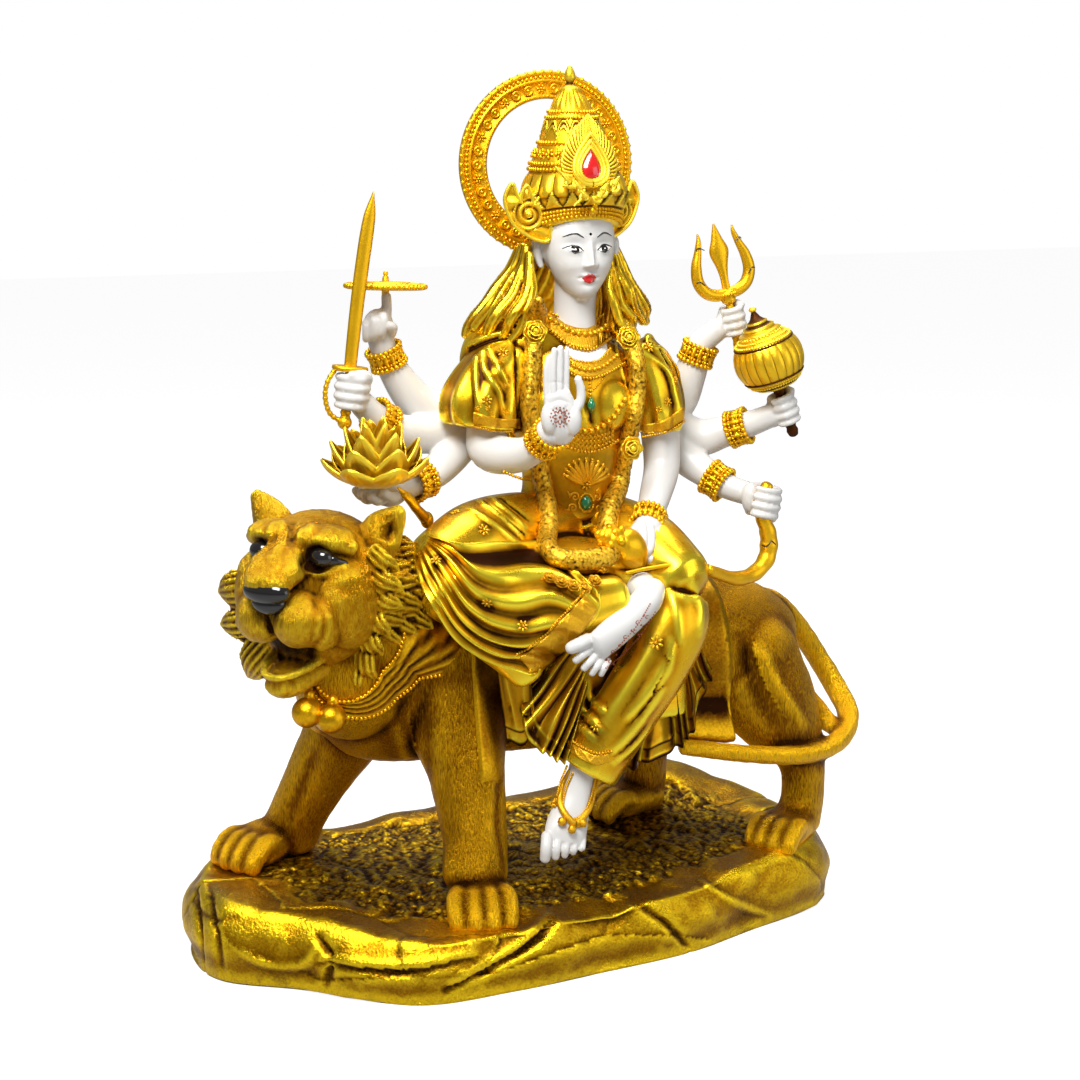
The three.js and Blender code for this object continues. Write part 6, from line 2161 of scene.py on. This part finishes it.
def make_bangles():
    groups = {
        "right_arms": (
            ([-67.5, 15, 304], [-0.38, -0.1, 0.92], 7.2), ([-76, -3.5, 274.5], [-0.7, -0.3, 0.5], 7.6),
            ([-59, -12.5, 243.5], [-0.85, -0.45, -0.2], 7.6),
        ),
        "left_arms": (
            ([104.5, 9, 299], [0.3, -0.17, 0.93], 7.4), ([121.5, -8, 260.3], [0.75, -0.6, 0.33], 7.6),
            ([107, -12.5, 233], [0.6, -0.65, -0.45], 7.4),
        ),
        "goddess": (([-3.5, -48, 267.5], [0.25, -0.72, 0.66], 7.2),
                    ([56, -39, 219.5], [-0.5, -0.75, -0.45], 7.2)),
    }
    for node, places in groups.items():
        parts = []
        for at, way, wrist in places:
            parts += bangle(at, way, wrist)
        ob = build("bangles_of_" + node, joined(parts))
        settle(ob, node, GOLD)


make_bangles()


# What the hands hold.


SWORD_AT, SWORD_WAY = (-93.3, -10, 302), (0.125, 0, 1)
DISCUS_AT, DISCUS_WAY = (-67.3, 15, 340), (0.04, 0.05, 1)
LOTUS_AT, LOTUS_WAY = (-87.3, -33.5, 247.5), (-0.05, -0.12, 1)
TRIDENT_AT, TRIDENT_WAY = (118.5, 4, 333), (-0.22, 0.03, 0.97)
MACE_AT, MACE_WAY = (132, -21.1, 298.5), (-0.34, 0.05, 0.94)


def make_sword():
    blade = []
    for t in np.linspace(0, 1, 9):
        bend = 2.8 * t**2.4
        half = 3.2 + 0.4 * math.sin(t * 3) if t < 0.85 else 3.2 * (1 - t) / 0.15 + 0.2
        blade.append([bend, 0, 88 * t, max(0.25, half), 1.15])
    parts = [limb(blade, sides=8, rings=60, blunt=0.2)]
    guard = spun([(0, 1.7), (2.8, 1.7), (6.4, 1.1), (7.9, 1.3), (8.1, 0), (7.4, -1.2), (2.8, -1.7),
                  (0, -1.7)], 36)
    parts.append((guard[0] * np.array([1.15, 0.8, 1]), guard[1]))
    parts += [placed(BEAD, (0, 0, z), size=2.9) for z in np.arange(-25, -1, 3.1)]
    parts.append(placed(ball((0, 0, 0), (1, 1, 1), sides=20, rows=12), (0, 0, -27), size=3.6))
    bow_line = smooth_line([(-7, 0, 0), (-11, -1, -7), (-11.5, -1, -15), (-8, -0.5, -23), (-1, 0, -27)], 60)
    parts.append(limb([[*p, 1.1] for p in bow_line[::6]], sides=10))
    parts += beads(bow_line, 1.45, 1.7)
    ob = build("sword_blade_and_hilt", placed(joined(parts), SWORD_AT, SWORD_WAY))
    settle(ob, "sword", GOLD)


def make_discus():
    parts = [spun([(0, 2.2), (3, 2.4), (4, 1.4), (10, 1.6), (11, 2.2), (12.4, 2.2), (13, 1.1), (18.5, 0.9),
                   (19.6, 1.6),
                   (20.4, 0.9), (20.4, -0.9), (19.6, -1.6), (12, -1.5), (0, -2)], 64)]
    parts += ring_of([BEAD], 44, 20.2, 0, 1.45)
    for i in range(30):
        a = i / 30 * 2 * math.pi
        at = (15.8 * math.cos(a), 15.8 * math.sin(a), 1.0)
        parts.append(ball(at, (2.4, 0.9, 1.0), turn=math.degrees(a), sides=8, rows=5))
    pin = spun([(0, 7.7), (1.0, 7.4), (1.3, 6.2), (0.9, 5.4), (1.6, 4.6), (1.9, 2), (1.9, -9), (0, -9)], 16)
    parts.append(pin)
    ob = build("discus_wheel", placed(joined(parts), DISCUS_AT, DISCUS_WAY))
    settle(ob, "discus", GOLD)


def lotus_petal(a, reach, lift, wide):
    """A pointed, cupped petal with fine veins."""
    out = np.array([math.cos(a), math.sin(a), 0])
    aside = np.array([-math.sin(a), math.cos(a), 0])
    rows, across = 16, 15
    outer, inner = [], []
    for i in range(rows):
        u = i / (rows - 1)
        half = wide * math.sin(math.pi * min(1.0, 0.12 + 0.88 * u**0.8)) ** 0.75 + 0.15
        r = reach * (0.14 + 0.86 * math.sin(u * 1.35) / math.sin(1.35))
        z = lift * u**1.6
        for k in range(across):
            v = 2 * k / (across - 1) - 1
            cup = 0.32 * half * v * v
            vein = 0.22 * math.cos(v * 15) * math.sin(math.pi * u)
            p = out * (r - cup * lift / (lift + reach) * 1.6) + aside * half * v
            p = p + np.array([0, 0, z + cup * 0.9])
            face = unit(out * -lift + np.array([0, 0, reach]))
            outer.append(p - face * (0.55 + vein))
            inner.append(p + face * (0.55 - vein))
    return thick_sheet(np.array(inner), np.array(outer), rows, across)


def make_lotus():
    parts = [ball((0, 0, 8), (9.5, 9.5, 7.5), sides=24, rows=14)]
    # Each ring of petals: how many, how far out, how high and how wide, and where the first one stands.
    rings = ((7, 27, 15, 11, 0.35), (6, 22, 23, 11, 0.8), (5, 15, 29, 10, 0.2), (4, 7.5, 33, 8.5, 0.6))
    for count, reach, lift, wide, start in rings:
        for i in range(count):
            a = i / count * 2 * math.pi + start
            parts.append(lotus_petal(a, reach, lift, wide))
    ob = build("lotus_flower", placed(joined(parts), LOTUS_AT, LOTUS_WAY))
    close_up(ob, 0.0001)
    find_hollows(ob, 6, 0.4)
    settle(ob, "lotus", GOLD)
    # Pixels with their depths and girths, from the flower down to the knob at the lower end.
    stem = [(404, 494, -30, 1.8), (416, 508, -24, 2.4), (424, 517, -20, 3.0)]
    leaf = [(398, 488, -31, 0.6), (408, 497, -28, 2.2), (416, 508, -25, 2.6)]
    knob = (427, 520, -18)
    stalk = [limb([seen(*p) for p in line], sides=16) for line in (stem, leaf)]
    stalk.append(ball(seen(*knob), [3.4, 3.4, 4.4]))
    settle(build("lotus_stalk", joined(stalk)), "right_arms", GOLD)


def make_trident():
    middle = [[0, 0, -4, 2.4], [0, 0, 6, 2.2, 2.0], [0, 0, 13, 3.4, 2.2], [0, 0, 21, 5.6, 2.4],
              [0, 0, 28, 3.2, 1.9],
              [0, 0, 36, 0.5, 0.5]]
    parts = [limb(middle, sides=12, rings=50)]
    for hand in (-1, 1):
        prong = [[0, 0, -1.5, 3.0], [hand * 6, 0, -1.6, 3.2], [hand * 12, 0, 1.5, 3.3],
                 [hand * 15.2, 0, 8, 3.2],
                 [hand * 14.6, 0, 16, 2.8], [hand * 12.2, 0, 23, 2.0], [hand * 10.4, 0, 29, 1.3],
                 [hand * 10.2, 0, 33, 0.4]]
        parts.append(limb(prong, wide=(0, 1, 0), sides=16, rings=60))
    parts.append(spun([(0, 0.5), (3.2, 0), (4.6, -1.4), (4.6, -2.6), (3.2, -3.6), (4.0, -5), (3.6, -6.4),
                       (2.4, -7.6), (0, -8)], 28))
    parts += [placed(BEAD, p, size=0.9) for p in hoop((0, 0, -2), (0, 0, 1), 4.6, 20)[:-1]]
    shaft = [[0, 0, -32 + 2 * i, 2.0 + 0.35 * (i % 2)] for i in range(14)]
    parts.append(limb(shaft, sides=14, rings=80))
    parts.append(limb([[0, 0, -30, 2.2], [0, 0, -36, 2.6], [0, 0, -40, 0.6]], sides=14))
    ob = build("trident_head_and_shaft", placed(joined(parts), TRIDENT_AT, TRIDENT_WAY))
    settle(ob, "trident", GOLD)
    marks = []
    for hand in (-1, 1):
        marks.append(limb([[hand * 13, -3.2, 6, 0.3], [hand * 15.5, -3.4, 8.5, 0.35],
                           [hand * 17.5, -2.4, 8, 0.3]], sides=8))
        marks.append(limb([[hand * 9, -2.2, 24, 0.25], [hand * 12, -2.4, 26, 0.3],
                           [hand * 13.5, -1.6, 25, 0.25]], sides=8))
    ob = build("trident_marks", placed(joined(marks), TRIDENT_AT, TRIDENT_WAY))
    settle(ob, "trident", BLACK)


def make_mace():
    sides, rows = 264, 60
    verts = []
    for r in range(1, rows):
        polar = r / rows * math.pi
        for s in range(sides):
            a = s / sides * 2 * math.pi
            band = max(0.0, 1 - (abs(math.cos(polar) + 0.04) / 0.62) ** 6)
            out = 18.6 * math.sin(polar) * (1 + 0.035 * band * (abs(math.cos(11 * a)) ** 0.6 - 0.6))
            verts.append((out * math.cos(a), out * math.sin(a), 17.6 * math.cos(polar)))
    faces = [tuple(reversed(f)) for f in lattice(rows - 1, sides)]
    n = len(verts)
    verts += [(0, 0, 17.6), (0, 0, -17.6)]
    for s in range(sides):
        nxt = (s + 1) % sides
        faces.append((n, s, nxt))
        faces.append((n + 1, (rows - 2) * sides + nxt, (rows - 2) * sides + s))
    parts = [(np.array(verts), faces)]
    for z, radius, bead in ((10.8, 15.0, 0.9), (14.2, 11.0, 1.0), (12.6, 13.2, 0.7), (-10.6, 15.1, 0.6),
                            (-12.4, 13.4, 0.8), (-14.6, 10.6, 0.6)):
        parts += beads(hoop((0, 0, z), (0, 0, 1), radius, 120), bead, 1.9, closed=True)
    for z, radius in ((9.6, 15.9), (-9.4, 16.0), (-13.5, 12.2)):
        parts.append(limb([[*p, 0.5] for p in hoop((0, 0, z), (0, 0, 1), radius, 49)], sides=8, rings=120))
    parts.append(spun([(0, 14), (11, 14.2), (11.6, 15.4), (9.2, 16.2), (8.4, 17.2), (8.6, 18.4), (6.2, 19),
                       (5.6, 20), (5.8, 21),
                       (4.4, 21.6), (3.0, 23), (1.4, 26), (1.2, 26.6), (2.0, 27.3), (2.1, 28), (1.2, 29),
                       (0, 29.3)][::-1], 40))
    grip = [[0, 0, -43 + 1.9 * i, 2.7 + 0.45 * (i % 2)] for i in range(17)]
    parts.append(limb(grip, sides=18, rings=120))
    ob = build("mace_head_and_grip", placed(joined(parts), MACE_AT, MACE_WAY))
    find_hollows(ob, 8, 0.4)
    settle(ob, "mace", GOLD)


def make_bow():
    spine = [
        (125.5, -36, 233), (121, -36, 223), (123.3, -36, 216), (126.2, -36, 209), (127.3, -36, 201),
        (125, -37, 193), (117, -39, 186.8), (103, -46, 187), (84, -56, 194.7), (74, -61.5, 199),
    ]
    girth = (3.4, 3.6, 3.8, 4.4, 4.8, 4.6, 4.2, 3.8, 3.0, 2.6)
    rows = [[*p, g] for p, g in zip(spine, girth)]
    parts = [limb(rows, wide=(0, 1, 0), sides=28, rings=160, wave=lambda t, a: 1 + 0.04 * math.sin(t * 60))]
    knot = np.array([76.0, -60.5, 198.5])
    parts += [placed(BEAD, knot + [2.5 * k, -1 - 0.5 * k, -0.8 * k], size=3.4 - 0.3 * k) for k in range(3)]
    string = smooth_line([(74, -61.5, 200), (60, -66, 202), (44, -67, 201.5), (30, -66, 199.5)], 40)
    parts.append(limb([[*p, 1.0] for p in string[::4]], sides=12))
    ob = build("bow_limb", joined(parts))
    settle(ob, "bow", GOLD)
    skin = surface_of(build("bow_copy", parts[0]))
    bpy.data.objects.remove(bpy.data.objects["bow_copy"])
    marks = [[(752, 511), (758, 509), (763, 515)], [(761, 545), (767, 546), (772, 540)],
             [(771, 540), (776, 545)], [(752, 506), (757, 507)]]
    marks = [painted_line(skin, line, 0.45, 0.05) for line in marks]
    settle(build("bow_marks", joined(marks)), "bow", BLACK)


make_sword()
make_discus()
make_lotus()
make_trident()
make_mace()
make_bow()


def make_conch():
    """The shell that lies in her left hand: a round whorl with a lobed spire."""
    body = [seen(640, 564, -52, 4), seen(634, 556, -55, 8), seen(626, 546, -57.5, 9.2),
            seen(616, 541, -58, 7)]
    parts = [limb(body, sides=40, rings=50, wave=lambda t, a: 1 + 0.03 * np.cos(3 * a + 9 * t))]
    tip = at_depth((598, 534), -59.5)
    heart = at_depth((622, 544), -57.5)
    for share, radius, lobe in ((0.34, 7.0, 2.3), (0.58, 5.4, 2.1), (0.8, 3.4, 1.9)):
        centre = heart + (tip - heart) * share
        line = hoop(centre, tip - heart, radius, 40)
        parts += beads(line, lobe, lobe * 1.5, closed=True)
        parts.append(placed(BEAD, centre, size=radius + 0.6))
    parts.append(placed(BEAD, tip, size=2.2))
    settle(build("conch", joined(parts)), "goddess", GOLD)


make_conch()


# The stage, the camera and the lights.


# The camera's film in millimetres, the light of the room and of the floor, and half the floor in metres.
FILM = 36
ROOM_LIGHT, FLOOR_GLOW, FLOOR_HALF = 0.26, 0.9, 4


def by_camera(tree, otherwise, seen_as, end):
    """Shows one shader to the camera alone, and lets the other one throw the light."""
    rays = tree.nodes.new("ShaderNodeLightPath")
    choice = tree.nodes.new("ShaderNodeMixShader")
    tree.links.new(rays.outputs["Is Camera Ray"], choice.inputs[0])
    tree.links.new(otherwise, choice.inputs[1])
    tree.links.new(seen_as, choice.inputs[2])
    tree.links.new(choice.outputs[0], end)


def aim(ob, at, target):
    ob.location = Vector(np.asarray(at) * MM + ORIGIN)
    way = Vector((np.asarray(target) - np.asarray(at)) * MM)
    ob.rotation_euler = way.to_track_quat("-Z", "Y").to_euler()


camera = bpy.data.objects.new("camera", bpy.data.cameras.new("camera"))
bpy.context.scene.collection.objects.link(camera)
camera.data.sensor_width = FILM
camera.data.lens = FOCAL_PIXELS / PICTURE * FILM
camera.data.clip_start = 0.05
aim(camera, EYE, LOOK_AT)
bpy.context.scene.camera = camera

# Each light's place, its width in metres and its power.
for name, at, size, power in (
    ("key_light", (-380, -560, 1080), 0.5, 19),
    ("fill_light", (900, -900, 500), 0.9, 4),
    ("top_light", (150, 250, 1150), 0.6, 12),
):
    lamp = bpy.data.lights.new(name, "AREA")
    lamp.size = size
    lamp.energy = power
    light = bpy.data.objects.new(name, lamp)
    bpy.context.scene.collection.objects.link(light)
    aim(light, at, (0, 0, 220))

world = bpy.data.worlds.new("pale_room")
bpy.context.scene.world = world
world.use_nodes = True
# The backdrop is plain white, and the room that lights the figure is dimmer than it looks.
room = world.node_tree
dim = room.nodes["Background"]
dim.inputs["Color"].default_value = (1, 1, 1, 1)
dim.inputs["Strength"].default_value = ROOM_LIGHT
backdrop = room.nodes.new("ShaderNodeBackground")
backdrop.inputs["Color"].default_value = (1, 1, 1, 1)
by_camera(room, dim.outputs[0], backdrop.outputs[0], room.nodes["World Output"].inputs["Surface"])
bpy.context.scene.view_settings.view_transform = "Standard"

corners = [(x * FLOOR_HALF, y * FLOOR_HALF, 0) for x, y in ((-1, -1), (1, -1), (1, 1), (-1, 1))]
floor = build("floor", (corners, [(0, 1, 2, 3)]))
# Seen by itself the floor is white paper, and it throws little light back up on the figure.
paper = Finish("white_paper")
paper.surface(Base_Color=(0.35, 0.35, 0.35), Roughness=0.9)
tree = paper.material.node_tree
glow = tree.nodes.new("ShaderNodeEmission")
glow.inputs["Strength"].default_value = FLOOR_GLOW
bright = tree.nodes.new("ShaderNodeBsdfDiffuse")
bright.inputs["Color"].default_value = (0.25, 0.25, 0.25, 1)
both = tree.nodes.new("ShaderNodeAddShader")
tree.links.new(glow.outputs[0], both.inputs[0])
tree.links.new(bright.outputs[0], both.inputs[1])
end = tree.nodes["Material Output"].inputs["Surface"]
by_camera(tree, end.links[0].from_socket, both.outputs[0], end)
floor.data.materials.append(paper.material)
